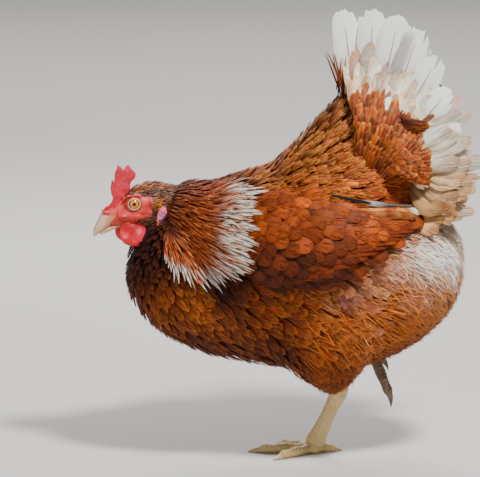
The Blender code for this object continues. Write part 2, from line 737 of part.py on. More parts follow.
def wing_parts(side, body_tree):
    """A function that places a point over the wing, and the plain shield of the folded wing."""
    front, back = WING[0][0], WING[-1][0]

    def edges(x):
        xs = [row[0] for row in WING]
        return np.interp(x, xs, [row[1] for row in WING]), np.interp(x, xs, [row[2] for row in WING])

    def thickness(x, z):
        top, bottom = edges(x)
        across = (z - bottom) / max(top - bottom, 1e-6)
        down = (x - front) / (back - front)
        if not 0 < across < 1 or not 0 < down < 1:
            return WING_EDGE
        bulge = (4 * across * (1 - across)) ** 0.6 * math.sin(math.pi * down**0.7) ** 0.6
        return WING_EDGE + WING_CROWN * bulge

    def place(x, z, lift):
        hit, normal, _, _ = body_tree.ray_cast(Vector((x, side * 0.3, z)), Vector((0, -side, 0)))
        if hit is None:
            hit, normal, _, _ = body_tree.find_nearest(Vector((x, side * 0.04, z)))
        return hit + normal * (thickness(x, z) + lift)

    steps, rows = 10, 5
    top, bottom = [], []
    for i in range(steps):
        x, high, low = at(WING, i / (steps - 1))
        heights = [low + (high - low) * j / (rows - 1) for j in range(rows)]
        top.append([place(x, z, 0) for z in heights])
        bottom.append([place(x, z, -thickness(x, z) - WING_SINK) for z in heights])
    return place, plate("wing", top, bottom)


def shaped_width(s):
    """The width of a vane along its length: narrow quill, broad web, rounded tip."""
    return min(1.0, 0.55 + 1.2 * s) * math.sqrt(max(1 - max(s - 0.62, 0) ** 2 / 0.38**2 * 0.90, 0.06))


def pointed_width(s):
    """The width of a hackle feather: it tapers to a point."""
    return min(1.0, 0.6 + 1.2 * s) * max(1 - max(s - 0.35, 0) / 0.65 * 0.88, 0.10)


def vane_rows(rows):
    """Places along a vane, closer together towards its tip."""
    return [1 - (1 - i / (rows - 1)) ** 1.35 for i in range(rows)]


def wing_node(side, word, body, body_tree, thigh):
    place, shield = wing_parts(side, body_tree)
    vanes = []
    for count, start, end, width, lift in WING_TIERS:
        for k in range(count):
            share = k / (count - 1)
            root, tip = at(QUILL_ROOTS, share), at(QUILL_TIPS, share)
            begin, finish_at = root + (tip - root) * start, root + (tip - root) * end
            ahead = (finish_at - begin) / np.linalg.norm(finish_at - begin)
            across = np.array((-ahead[1], ahead[0]))
            top, bottom = [], []
            for s in vane_rows(4):
                middle = begin + (finish_at - begin) * s
                half = width / 2 * shaped_width(s)
                rise = (WING_VANE_SUNK + lift) * min(1, 2.2 * s) - WING_VANE_SUNK + WING_VANE_RISE
                row = [(middle + across * half * edge, rise - WING_VANE_TILT * edge) for edge in (-1, 0, 1)]
                top.append([place(p[0], p[1], r + WING_VANE_THICKNESS) for p, r in row])
                bottom.append([place(p[0], p[1], r) for p, r in row])
            vanes.append(plate("vane", top, bottom))
    wing = combine(shield, vanes, "UNION")
    combine(wing, [grown(body, GAP), grown(thigh, GAP)], "DIFFERENCE")
    wing.name = "wing_" + word
    finish(wing, "rufous", 0.65)
    return wing


def tree_of(objects):
    """A tree over several closed bodies, to look up where their outermost surface lies."""
    points, faces = [], []
    for obj in objects:
        start = len(points)
        points += [vert.co.copy() for vert in obj.data.vertices]
        faces += [[start + i for i in polygon.vertices] for polygon in obj.data.polygons]
    return BVHTree.FromPolygons(points, faces)


def cape_spoke(share, turn):
    """The middle of one ring of the hackle and the way out from it: share runs from nape to tips."""
    x, z, half_width, half_height, lean = at(CAPE, share)
    up = Vector((lean, 0, 1)).normalized()
    return Vector((x, 0, z)), SIDE * (half_width * math.cos(turn)) + up * (half_height * math.sin(turn))


def surface_from(tree, centre, spoke):
    """How far the outermost surface lies from a point, along a spoke."""
    way = spoke.normalized()
    hit = tree.ray_cast(centre + way * 0.3, -way)[0]
    return (hit - centre).length if hit is not None else spoke.length


def near_top(turn, spread):
    """1 at the top of the neck, and less the further a spoke turns from it."""
    return math.exp(-(((turn - math.pi / 2) / spread) ** 2))


def cape_lifts(tree):
    """How far the hackle is lifted, by share and turn: clear of what it covers, and smooth all over."""
    shares = np.linspace(0.0, 1.1, 12)
    turns = np.linspace(HACKLE_SPAN[0] - 0.3, HACKLE_SPAN[1] + 0.3, 27)
    lifts = np.empty((len(shares), len(turns)))
    for i, share in enumerate(shares):
        clear = HACKLE_CLEAR[0] + (HACKLE_CLEAR[1] - HACKLE_CLEAR[0]) * min(share, 1)
        for j, turn in enumerate(turns):
            centre, spoke = cape_spoke(share, turn)
            surface = surface_from(tree, centre, spoke) + clear
            most = HACKLE_MOST_LIFT - HACKLE_FLAT_TOP * near_top(turn, HACKLE_FLAT_SPREAD)
            lifts[i, j] = min(max(surface - spoke.length, 0), most)
    for blend in (np.max, np.mean, np.mean):
        around = np.pad(lifts, 1, mode="edge")
        nearby = [around[i : i + len(shares), j : j + len(turns)] for i in range(3) for j in range(3)]
        lifts = blend(nearby, axis=0)
    return shares, turns, lifts


def cape_point(table, share, turn, lift):
    """A point over the hackle's smooth outer surface."""
    shares, turns, lifts = table
    lift += np.interp(share, shares, [np.interp(turn, turns, row) for row in lifts])
    centre, spoke = cape_spoke(share, turn)
    return centre + spoke.normalized() * (spoke.length + lift)


def hackle_end(turn):
    """The share of the cape that the hackle reaches at this turn."""
    top_cut = HACKLE_TOP_CUT * near_top(turn, HACKLE_TOP_SPREAD)
    low = max(abs(turn - math.pi / 2) - HACKLE_LOW_FROM, 0)
    return 1 - top_cut - HACKLE_LOW_CUT * low / (HACKLE_SPAN[1] - math.pi / 2 - HACKLE_LOW_FROM)


def hackle_vanes(rng, tree):
    vanes = []
    low, high = HACKLE_SPAN
    table = cape_lifts(tree)
    for tier, (count, start, end, width, lift) in enumerate(HACKLE_TIERS):
        for k in range(count):
            turn = low + (high - low) * (k + 0.5 * (tier % 2)) / (count - 1 + 0.5 * (tier % 2))
            reach = end - 0.05 * rng.random() * (tier == 0)
            reach = min(reach, hackle_end(turn))
            top, bottom = [], []
            for row, s in enumerate(vane_rows(4)):
                share = start + (reach - start) * s
                centre, spoke = cape_spoke(share, turn)
                half = width / 2 * pointed_width(s) / spoke.length
                for face, thickness in ((top, HACKLE_THICKNESS), (bottom, 0.0)):
                    points = []
                    for edge in (-1, 0, 1):
                        way = turn + half * edge
                        tilt = thickness - HACKLE_TILT * edge
                        if row == 0:
                            centre, spoke = cape_spoke(share, way)
                            sunk = surface_from(tree, centre, spoke) - HACKLE_SUNK + tilt
                            points.append(centre + spoke.normalized() * sunk)
                        else:
                            points.append(cape_point(table, share, way, lift + tilt))
                    face.append(points)
            vanes.append(plate("hackle", top, bottom))
    return vanes


def tail_vanes():
    vanes = []
    for side in (LEFT, RIGHT):
        for tier, quills in enumerate((TAIL_QUILLS, TAIL_COVERTS)):
            for k, (root_x, root_z, tip_x, tip_y, tip_z, width) in enumerate(quills):
                root = Vector((root_x - 0.004, side * (0.003 + 0.35 * tip_y), root_z - 0.010))
                tip = Vector((tip_x, side * tip_y, tip_z))
                ahead = (tip - root).normalized()
                outwards = Vector((0.10, side, 0.25))
                outwards = (outwards - ahead * outwards.dot(ahead)).normalized()
                across = ahead.cross(outwards).normalized() * side
                top, bottom = [], []
                for s in vane_rows(4):
                    bow_height = (TAIL_BOW + TAIL_BOW_SHARE * tip_y) * math.sin(math.pi * s)
                    bow = outwards * (bow_height - TAIL_ROOT_STEP * k * (1 - s))
                    middle = root.lerp(tip, s) + bow
                    half = width / 2 * shaped_width(s)
                    row = []
                    for edge in (-1, 0, 1):
                        rise = TAIL_VANE_ARCH * (1 - abs(edge)) + TAIL_VANE_TILT * edge
                        row.append(middle + across * (half * edge) + outwards * rise)
                    top.append([p + outwards * TAIL_VANE_THICKNESS / 2 for p in row])
                    bottom.append([p - outwards * TAIL_VANE_THICKNESS / 2 for p in row])
                vanes.append(plate("quill", top, bottom))
    return vanes


def toe_stations(start, direction, length, thickness, flat):
    """Stations of one toe: padded under each joint, and bent a little down to its claw."""
    stations = []
    for share, swell in TOE_SWELL:
        middle = start + direction * (length * share)
        radius = thickness * swell
        if flat:
            middle.z = radius * 0.86 + (SOLE_HEIGHT - thickness) * (1 - share) * 0.6
        stations.append((*middle, radius, radius))
    return stations


def claw(name, stations_end, direction, length, radius, sag):
    """A curved, tapering claw at the end of a toe."""
    rings = []
    side = Vector((0, 0, 1)).cross(direction)
    side = side.normalized() if side.length > 0.1 else SIDE
    drop = side.cross(direction).normalized()
    if drop.z > 0:
        drop = -drop
    for i in range(4):
        s = i / 3
        middle = stations_end + direction * (length * s + GAP) + drop * (sag * s * s)
        rings.append(ring(middle, side, drop, radius * (1 - 0.80 * s), radius * (1.15 - 0.90 * s), 7))
    return loft(name, rings)


def level_sole(obj):
    """Flattens what would dip below the floor, so that the foot stands on flats at one level."""
    for vert in obj.data.vertices:
        vert.co.z = max(vert.co.z, 0.0)


def foot_nodes(word, centre, ahead, side_way, hind_way, spread, flat):
    """The toes of one foot, joined to its pad, and their claws."""
    pad = ball("foot_" + word, centre, FOOT_PAD_RADII, 12, 7)
    toes, claws = [], []
    for toe, (turn, length, thickness, claw_length) in TOES.items():
        angle = math.radians(turn)
        if toe == "hind":
            direction = hind_way
        else:
            direction = ahead * math.cos(angle * spread) + side_way * math.sin(angle * spread)
            direction.normalize()
        stations = toe_stations(centre + direction * TOE_START, direction, length, thickness, flat)
        toes.append(limb("toe", stations, 9, 7, raised=1, rise=SCUTE_RISE))
        end = Vector(stations[-1][:3])
        sag = CLAW_SAG_FLAT if flat else CLAW_SAG_LIFTED
        nail = claw("claw_%s_%s" % (word, toe), end, direction, claw_length, thickness * CLAW_SHARE, sag)
        if flat:
            level_sole(nail)
        claws.append(nail)
    foot = combine(pad, toes, "UNION")
    if flat:
        level_sole(foot)
        keep_largest(foot)
    return foot, claws


def build():
    clear_scene()
    rng = random.Random(7)
    body = blended_body()
    body_tree = BVHTree.FromObject(body, bpy.context.evaluated_depsgraph_get())

    shoulders = part_off(body, "shoulders", SHOULDER_CUT, 1)
    torso = part_off(shoulders, "torso", RUMP_CUT, -1)
    tail = part_off(shoulders, "tail", RUMP_CUT, 1)
    neck = part_off(body, "neck", SHOULDER_CUT, -1)
    combine(neck, [head_room()], "DIFFERENCE")
    remove(shoulders)

    thighs = {}
    for word, stations in (("left", THIGH_LEFT), ("right", THIGH_RIGHT)):
        thigh = limb("thigh_" + word, stations, 11, 22)
        combine(thigh, [grown(body, GAP)], "DIFFERENCE")
        thighs[word] = thigh

    wings = {}
    for side, word in ((LEFT, "left"), (RIGHT, "right")):
        wings[word] = wing_node(side, word, body, body_tree, thighs[word])

    fill = ball("tail_fill", TAIL_FILL[0], TAIL_FILL[1], 14, 8)
    combine(tail, [fill, *tail_vanes()], "UNION")
    combine(tail, [grown(torso, GAP), grown(wings["left"], GAP), grown(wings["right"], GAP)], "DIFFERENCE")
    outer_tree = tree_of([body, wings["left"], wings["right"]])
    combine(neck, hackle_vanes(rng, outer_tree), "UNION")
    heads = head_nodes()
    beside = [torso, wings["left"], wings["right"], *heads.values()]
    combine(neck, [grown(other, GAP) for other in beside], "DIFFERENCE")

    for word, stations in (("left", SHANK_LEFT), ("right", SHANK_RIGHT)):
        shank = limb("shank_" + word, stations, 2 * SCUTES_PER_SHANK + 1, 12, raised=1, rise=SCUTE_RISE)
        if word == "left":
            centre, ahead, side_way = Vector((0, 0, SOLE_HEIGHT)), Vector((-1, 0, 0)), Vector((0, 1, 0))
            foot, claws = foot_nodes(word, centre, ahead, side_way, STANDING_HIND, 1.0, True)
        else:
            centre, ahead, side_way = LIFTED_FOOT, LIFTED_HANG, Vector((0, -1, 0))
            foot, claws = foot_nodes(word, centre, ahead, side_way, LIFTED_HIND, LIFTED_SPREAD, False)
        combine(foot, [grown(body, GAP)], "DIFFERENCE")
        combine(shank, [grown(foot, GAP), grown(thighs[word], GAP), grown(body, GAP)], "DIFFERENCE")
        finish(shank, "shank", 0.5)
        finish(foot, "shank", 0.5)
        for nail in claws:
            combine(nail, [grown(foot, GAP)], "DIFFERENCE")
            finish(nail, "horn", 0.4)

    remove(body)
    finish(torso, "rufous", 0.7)
    finish(neck, "hackle", 0.65)
    finish(tail, "white", 0.65)
    for thigh in thighs.values():
        finish(thigh, "rufous", 0.7)


build()
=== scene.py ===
# %% [markdown]
# # A brown laying hen, feather by feather
#
# The imported model gives the hen as plain closed bodies. This lesson dresses it: one skin lies inside
# those bodies, and thousands of small solid vanes grow from it and end where the bodies ended. The first
# step loads the bodies.

# %% Load the imported hen
import math

import bpy
import numpy as np
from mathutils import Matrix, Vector, noise
from mathutils.bvhtree import BVHTree


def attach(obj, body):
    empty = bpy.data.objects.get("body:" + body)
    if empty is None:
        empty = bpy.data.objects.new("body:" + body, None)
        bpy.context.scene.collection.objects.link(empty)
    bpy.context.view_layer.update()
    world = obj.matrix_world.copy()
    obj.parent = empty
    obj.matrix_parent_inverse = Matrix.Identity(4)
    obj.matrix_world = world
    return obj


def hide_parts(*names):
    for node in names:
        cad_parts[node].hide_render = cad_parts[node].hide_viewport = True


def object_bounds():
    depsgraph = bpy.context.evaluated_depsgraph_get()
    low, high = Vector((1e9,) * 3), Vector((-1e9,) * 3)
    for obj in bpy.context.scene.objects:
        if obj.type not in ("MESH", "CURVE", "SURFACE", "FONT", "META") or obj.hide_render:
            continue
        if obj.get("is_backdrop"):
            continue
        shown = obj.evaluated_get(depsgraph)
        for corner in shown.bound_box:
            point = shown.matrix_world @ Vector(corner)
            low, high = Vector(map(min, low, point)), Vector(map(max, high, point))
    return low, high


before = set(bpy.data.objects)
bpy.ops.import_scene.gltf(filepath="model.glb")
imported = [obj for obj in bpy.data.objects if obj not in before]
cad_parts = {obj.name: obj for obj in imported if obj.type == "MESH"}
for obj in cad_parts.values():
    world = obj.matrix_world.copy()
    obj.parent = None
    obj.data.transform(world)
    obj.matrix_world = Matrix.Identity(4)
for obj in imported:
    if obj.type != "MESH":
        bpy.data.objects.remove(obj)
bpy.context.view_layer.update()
rng = np.random.default_rng(11)
print("packed nodes:", len(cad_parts))


# %% [markdown]
# ## Camera, floor and light
#
# The photograph was taken from the hen's left, a little above its back, from far away: near and far toes
# keep the same scale. A long lens far from the hen gives the same flat perspective. A wide lens close by
# would fill the frame as well, but it would swell the wing and shrink the head.

# %% Camera at the photograph's angle
# Metres for one pixel of the photograph, and its pixels across
PIXEL, PHOTO_WIDTH = 0.00095, 480
SENSOR = 36
ELEVATION = math.radians(10)
CAMERA_DISTANCE = 2.8
FRAME_MIDDLE = (-0.0703, 0.2057)
away = Vector((0, -math.cos(ELEVATION), math.sin(ELEVATION)))
aim = Vector((FRAME_MIDDLE[0], 0, FRAME_MIDDLE[1] / math.cos(ELEVATION)))
camera_data = bpy.data.cameras.new("camera")
camera_data.sensor_width = SENSOR
camera_data.lens = SENSOR * CAMERA_DISTANCE / (PHOTO_WIDTH * PIXEL)
camera = bpy.data.objects.new("camera", camera_data)
camera.location = aim + away * CAMERA_DISTANCE
camera.rotation_euler = (math.pi / 2 - ELEVATION, 0, 0)
bpy.context.scene.collection.objects.link(camera)
bpy.context.scene.camera = camera
print("lens in mm:", round(camera_data.lens))


# %% [markdown]
# The light is a plain studio's: one broad lamp high on the right, as the sun stands in the photograph, a
# weaker one from the left to open the shadows, one behind for the rim, and a pale room. The floor only
# catches the shadow, so it is marked as stage.

# %% Studio light and floor
def lamp(name, place, target, size, power):
    data = bpy.data.lights.new(name, "AREA")
    data.shape = "DISK"
    data.size = size
    data.energy = power
    made = bpy.data.objects.new(name, data)
    made.location = place
    made.rotation_euler = (Vector(target) - Vector(place)).to_track_quat("-Z", "Y").to_euler()
    bpy.context.scene.collection.objects.link(made)


HEN_MIDDLE = (-0.03, 0, 0.20)
lamp("key_light", (0.45, -0.75, 1.60), HEN_MIDDLE, 0.30, 42)
lamp("fill_light", (-1.3, -1.1, 0.6), HEN_MIDDLE, 1.2, 3.5)
lamp("rim_light", (-0.4, 1.3, 1.2), HEN_MIDDLE, 0.8, 14)
lamp("floor_light", (0, 2.6, 2.4), (0, 3.0, 0), 3.0, 76)
world = bpy.data.worlds.new("studio")
bpy.context.scene.world = world
world.use_nodes = True
room = world.node_tree.nodes["Background"].inputs
room["Color"].default_value = (0.86, 0.84, 0.82, 1)
room["Strength"].default_value = 0.27

floor_mesh = bpy.data.meshes.new("floor")
floor_mesh.from_pydata([(-6, -6, 0), (6, -6, 0), (6, 6, 0), (-6, 6, 0)], [], [(0, 1, 2, 3)])
floor = bpy.data.objects.new("floor", floor_mesh)
floor.location.z = -0.0002
bpy.context.scene.collection.objects.link(floor)
floor_paint = bpy.data.materials.new("pale_floor")
floor_paint.use_nodes = True
floor_finish = floor_paint.node_tree.nodes["Principled BSDF"].inputs
floor_finish["Base Color"].default_value = (0.66, 0.64, 0.61, 1)
floor_finish["Roughness"].default_value = 0.9
floor_mesh.materials.append(floor_paint)
floor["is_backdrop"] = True


# %% [markdown]
# ## Small tools
#
# Colours are easiest to judge as they look on a screen, so `paint` turns such values into the linear ones
# that Blender mixes, and `fade` runs from one value to another. `mesh_object` fills a mesh from whole
# arrays, which is far quicker than adding thousands of faces one by one.

# %% Colours and meshes
DEEPER = 1.16


def paint(red, green, blue):
    """A colour as the photo shows it, made linear and deeper, because studio light makes it paler."""
    linear = (np.array((red, green, blue)) / 255) ** 2.2
    return np.clip(linear.mean() + (linear - linear.mean()) * DEEPER, 0.001, 0.9)


def fade(first, second, share):
    """The first value where the share is 0, the second where it is 1, and a mixture between."""
    return first * (1 - share) + second * share


def mesh_object(name, points, faces):
    """A mesh object from an array of points and an array of faces with the same number of corners."""
    points, faces = np.asarray(points, np.float32), np.asarray(faces, np.int32)
    mesh = bpy.data.meshes.new(name)
    mesh.vertices.add(len(points))
    mesh.vertices.foreach_set("co", points.ravel())
    mesh.loops.add(faces.size)
    mesh.loops.foreach_set("vertex_index", faces.ravel())
    mesh.polygons.add(len(faces))
    mesh.polygons.foreach_set("loop_start", np.arange(0, faces.size, faces.shape[1], dtype=np.int32))
    mesh.polygons.foreach_set("use_smooth", np.full(len(faces), True))
    mesh.update(calc_edges=True)
    obj = bpy.data.objects.new(name, mesh)
    bpy.context.scene.collection.objects.link(obj)
    return obj


def read(items, key, width=3):
    """One property of a mesh's points or corners as an array."""
    values = np.empty(len(items) * width, np.float32)
    items.foreach_get(key, values)
    return values.reshape(-1, width).astype(float)


def xyz(x, y, z):
    """Points or directions from their coordinates, each of them a number or an array."""
    return np.stack(np.broadcast_arrays(x, y, z), -1)


def unit(vectors):
    """Directions of length 1."""
    vectors = np.asarray(vectors, float)
    return vectors / np.maximum(np.linalg.norm(vectors, axis=-1, keepdims=True), 1e-12)


def smooth_step(low, high, values):
    """0 up to low, 1 from high on, and a soft rise between. Low may be the greater one."""
    t = np.clip((values - low) / (high - low), 0, 1)
    return t * t * (3 - 2 * t)


def looked_up(x, table):
    """The second column of a table at a place of its first."""
    return np.interp(x, *np.array(table).T[:2])


# %% [markdown]
# Every round form here is a loft: rings set along a short table of stations, with a smooth curve through
# the table. A closed tube needs its two ends capped, which one point in the middle of each end does.

# %% Lofts
SIDE = np.array([0.0, 1.0, 0.0])
LEFT, RIGHT = -1, 1
SIDES = ((LEFT, "left"), (RIGHT, "right"))


def along(stations, count):
    """Smooth values at even steps along a short list of stations (a Catmull-Rom curve)."""
    rows = np.array(stations, float)
    rows = np.vstack([2 * rows[0] - rows[1], rows, 2 * rows[-1] - rows[-2]])
    place = np.linspace(0, len(stations) - 1, count)
    i = np.minimum(place.astype(int), len(stations) - 2)
    t = (place - i)[:, None]
    a, b, c, d = rows[i], rows[i + 1], rows[i + 2], rows[i + 3]
    return 0.5 * (2 * b + (c - a) * t + (2 * a - 5 * b + 4 * c - d) * t**2 + (3 * b - a - 3 * c + d) * t**3)


def ring_points(centres, sides_way, up_way, half_side, half_up, sides):
    """Rings of an elliptic tube as an array: ring, corner, coordinate."""
    turn = np.linspace(0, 2 * math.pi, sides, endpoint=False)
    across = np.asarray(half_side)[:, None, None] * np.cos(turn)[None, :, None] * sides_way[:, None, :]
    upwards = np.asarray(half_up)[:, None, None] * np.sin(turn)[None, :, None] * up_way[:, None, :]
    return centres[:, None, :] + across + upwards


def halves(a, b, c, d):
    """Two triangles for each face of four corners."""
    return np.concatenate([np.stack([a, b, c], -1).reshape(-1, 3), np.stack([a, c, d], -1).reshape(-1, 3)])


def tube(rings):
    """Points and triangles of a closed tube through rings."""
    count, sides = rings.shape[:2]
    points = np.vstack([rings.reshape(-1, 3), rings[0].mean(0), rings[-1].mean(0)])
    i, k = np.meshgrid(np.arange(count - 1), np.arange(sides), indexing="ij")
    a, b = i * sides + k, i * sides + (k + 1) % sides
    faces = halves(a, b, b + sides, a + sides)
    k = np.arange(sides)
    n = (k + 1) % sides
    first, last = count * sides, count * sides + 1
    near = np.stack([np.full(sides, first), n, k], -1)
    far = np.stack([np.full(sides, last), (count - 1) * sides + k, (count - 1) * sides + n], -1)
    return points, np.concatenate([faces, near, far])


def flat_tube(stations, count, up_way, sides=48):
    """A tube through stations of x, z, half width and half height in the hen's middle plane."""
    rows = along(stations, count)
    up = np.tile(unit(up_way), (count, 1))
    centres = xyz(rows[:, 0], 0, rows[:, 1])
    return tube(ring_points(centres, np.tile(SIDE, (count, 1)), up, rows[:, 2], rows[:, 3], sides))


def bent_tube(stations, count, sides=32):
    """A tube through stations of x, y, z, half depth and half width that turns with its own path."""
    rows = along(stations, count)
    ahead = unit(np.gradient(rows[:, :3], axis=0))
    depth = unit(np.cross(SIDE, ahead))
    width = unit(np.cross(ahead, depth))
    return tube(ring_points(rows[:, :3], width, depth, rows[:, 4], rows[:, 3], sides))


def joined(parts):
    """Several tubes as one list of points and one of faces."""
    points, faces, start = [], [], 0
    for some_points, some_faces in parts:
        points.append(some_points)
        faces.append(some_faces + start)
        start += len(some_points)
    return np.vstack(points), np.vstack(faces)


def run_together(obj, voxel, passes):
    """An object as one smooth closed mesh: points, normals and triangles. The object itself goes."""
    remesh = obj.modifiers.new("remesh", "REMESH")
    remesh.mode, remesh.voxel_size = "VOXEL", voxel
    obj.modifiers.new("soften", "SMOOTH").iterations = passes
    obj.modifiers.new("triangles", "TRIANGULATE")
    bpy.context.view_layer.update()
    graph = bpy.context.evaluated_depsgraph_get()
    mesh = bpy.data.meshes.new_from_object(obj.evaluated_get(graph))
    bpy.data.objects.remove(obj)
    faces = np.array([p.vertices[:] for p in mesh.polygons])
    return read(mesh.vertices, "co"), read(mesh.vertices, "normal"), faces


def mottle(points, size):
    """A smooth field between about -1 and 1 that changes over the given size in metres."""
    return np.array([2 * noise.noise(Vector(p / size)) for p in points])


# %% [markdown]
# ## The form under the coat
#
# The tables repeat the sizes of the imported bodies: torso, saddle, throat, neck, thighs and the fluff that
# fills the tail. Overlapping tubes run together when they are remeshed by voxels, and a few passes of
# smoothing take the creases out. This is the outline of the plumage. It is a guide, and isn't shown.

# %% Tables of the body
TORSO = (
    (-0.1765, 0.190, 0.172, 0.010), (-0.1705, 0.214, 0.148, 0.036), (-0.1450, 0.237, 0.119, 0.057),
    (-0.1050, 0.2485, 0.100, 0.068), (-0.0820, 0.266, 0.0945, 0.072), (-0.0500, 0.278, 0.0885, 0.076),
    (0.0100, 0.284, 0.082, 0.079), (0.0600, 0.266, 0.091, 0.070), (0.1000, 0.243, 0.113, 0.056),
    (0.1280, 0.224, 0.141, 0.038), (0.1395, 0.205, 0.168, 0.016),
)
TORSO_STATIONS = [(x, (top + low) / 2, half, (top - low) / 2) for x, top, low, half in TORSO]
SADDLE = (
    (0.000, 0.200, 0.070, 0.082), (0.022, 0.236, 0.064, 0.078), (0.041, 0.267, 0.050, 0.069),
    (0.0561, 0.3003, 0.033, 0.0575), (0.0640, 0.3196, 0.023, 0.0500), (0.0684, 0.3340, 0.010, 0.0360),
)
THROAT = (
    (-0.147, 0.232, 0.018, 0.022), (-0.143, 0.212, 0.028, 0.029), (-0.138, 0.188, 0.046, 0.042),
    (-0.125, 0.165, 0.054, 0.052),
)
CAPE = (
    (-0.142, 0.2362, 0.022, 0.0231, 0.34), (-0.124, 0.2275, 0.036, 0.0303, 0.30),
    (-0.104, 0.2175, 0.056, 0.0392, 0.24), (-0.081, 0.2105, 0.077, 0.0520, 0.18),
    (-0.056, 0.203, 0.093, 0.062, 0.12),
)
NECK = [(x, z, half * 0.97, tall * 0.97) for x, z, half, tall, _ in CAPE[:4]]
SKULL = (
    (-0.1960, 0.2310, 0.0056, 0.0070), (-0.1900, 0.2325, 0.0086, 0.0108),
    (-0.1800, 0.2378, 0.0122, 0.0168), (-0.1670, 0.2415, 0.0154, 0.0212),
    (-0.1530, 0.2415, 0.0180, 0.0224), (-0.1400, 0.2378, 0.0212, 0.0232),
    (-0.1260, 0.2310, 0.0295, 0.0270),
)
THIGH_LEFT = (
    (0.008, -0.038, 0.175, 0.072, 0.034), (0.009, -0.040, 0.138, 0.066, 0.036),
    (0.013, -0.036, 0.110, 0.050, 0.032), (0.017, -0.027, 0.090, 0.032, 0.023),
    (0.020, -0.018, 0.0755, 0.0175, 0.0145), (0.023, -0.0145, 0.0690, 0.0120, 0.0105),
)
THIGH_RIGHT = (
    (-0.010, 0.038, 0.180, 0.060, 0.034), (0.008, 0.042, 0.150, 0.056, 0.036),
    (0.036, 0.043, 0.138, 0.042, 0.031), (0.062, 0.039, 0.136, 0.026, 0.023),
    (0.082, 0.036, 0.138, 0.012, 0.013),
)
TAIL_FILL = (
    (0.044, 0.316, 0.003, 0.006), (0.052, 0.316, 0.010, 0.036), (0.070, 0.316, 0.0165, 0.057),
    (0.088, 0.316, 0.018, 0.062), (0.106, 0.316, 0.0165, 0.057), (0.124, 0.316, 0.010, 0.036),
    (0.132, 0.316, 0.003, 0.006),
)

# %% One outline for the whole coat
FORM_VOXEL, FORM_PASSES = 0.003, 16
form_points, form_normals, form_faces = run_together(mesh_object("form", *joined([
    flat_tube(TORSO_STATIONS, 40, (0, 0, 1), 64),
    flat_tube(SADDLE, 20, (0.86, 0, -0.51)),
    flat_tube(THROAT, 12, (1, 0, 0.25)),
    flat_tube(NECK, 12, (0.2, 0, 1)),
    flat_tube(SKULL[4:], 8, (0.12, 0, 1)),
    flat_tube(TAIL_FILL, 14, (0, 0, 1), 32),
    bent_tube(THIGH_LEFT, 24),
    bent_tube(THIGH_RIGHT, 24),
])), FORM_VOXEL, FORM_PASSES)
form_tree = BVHTree.FromPolygons([tuple(p) for p in form_points], form_faces.tolist())
print("form triangles:", len(form_faces))


# %% [markdown]
# ## Where the wings lie
#
# The folded wing is a shield on the body's side. Its outline is a table of top and lower edges, and its
# thickness swells in the middle. `on_wing` finds the form from the side and steps out by that thickness.

# %% Wing shield
WING = (
    (-0.088, 0.226, 0.2120), (-0.070, 0.248, 0.1930), (-0.035, 0.256, 0.1780), (0.010, 0.254, 0.1800),
    (0.050, 0.244, 0.2053), (0.080, 0.238, 0.2210), (0.094, 0.234, 0.2275),
)
WING_TABLE = np.array(WING)
WING_EDGE, WING_CROWN = 0.0045, 0.011


def wing_edges(x):
    """The height of the wing's top and lower edge at x."""
    return (np.interp(x, WING_TABLE[:, 0], WING_TABLE[:, k]) for k in (1, 2))


def wing_thickness(x, z):
    """How far the wing stands off the body, and whether the place is on the wing at all."""
    top, low = wing_edges(x)
    across = (z - low) / np.maximum(top - low, 1e-6)
    back = (x - WING[0][0]) / (WING[-1][0] - WING[0][0])
    inside = (across > 0) & (across < 1) & (back > 0) & (back < 1)
    bulge = (4 * np.clip(across * (1 - across), 0, 1)) ** 0.6 * np.sin(math.pi * np.clip(back, 0, 1) ** 0.7) ** 0.6
    return WING_EDGE + WING_CROWN * np.where(inside, bulge, 0), inside


def on_wing(side, x, z, lift):
    """A point over the wing and the way out from it."""
    hit, _, face, _ = form_tree.ray_cast(Vector((x, side * 0.3, z)), Vector((0, -side, 0)))
    if hit is None:
        hit, _, face, _ = form_tree.find_nearest(Vector((x, side * 0.04, z)))
    normal = unit(form_normals[form_faces[face]].mean(0))
    return np.array(hit) + normal * (wing_thickness(x, z)[0] + lift), normal, face


print("wing in mm:", round(1000 * (WING[-1][0] - WING[0][0])), "long,", 1000 * (WING_EDGE + WING_CROWN), "thick")


# %% [markdown]
# ## The chart of the plumage
#
# A hen's feathers change all over its body: short and narrow at the throat, round on the breast, long and
# soft at the vent. One row of this chart says, for one spot of the coat, which way the feathers lie, how
# long, wide and far apart they are, how deep the coat is, and the colours of their middle and their rim.
# Between the spots the values run smoothly, because each spot's weight fades with distance.

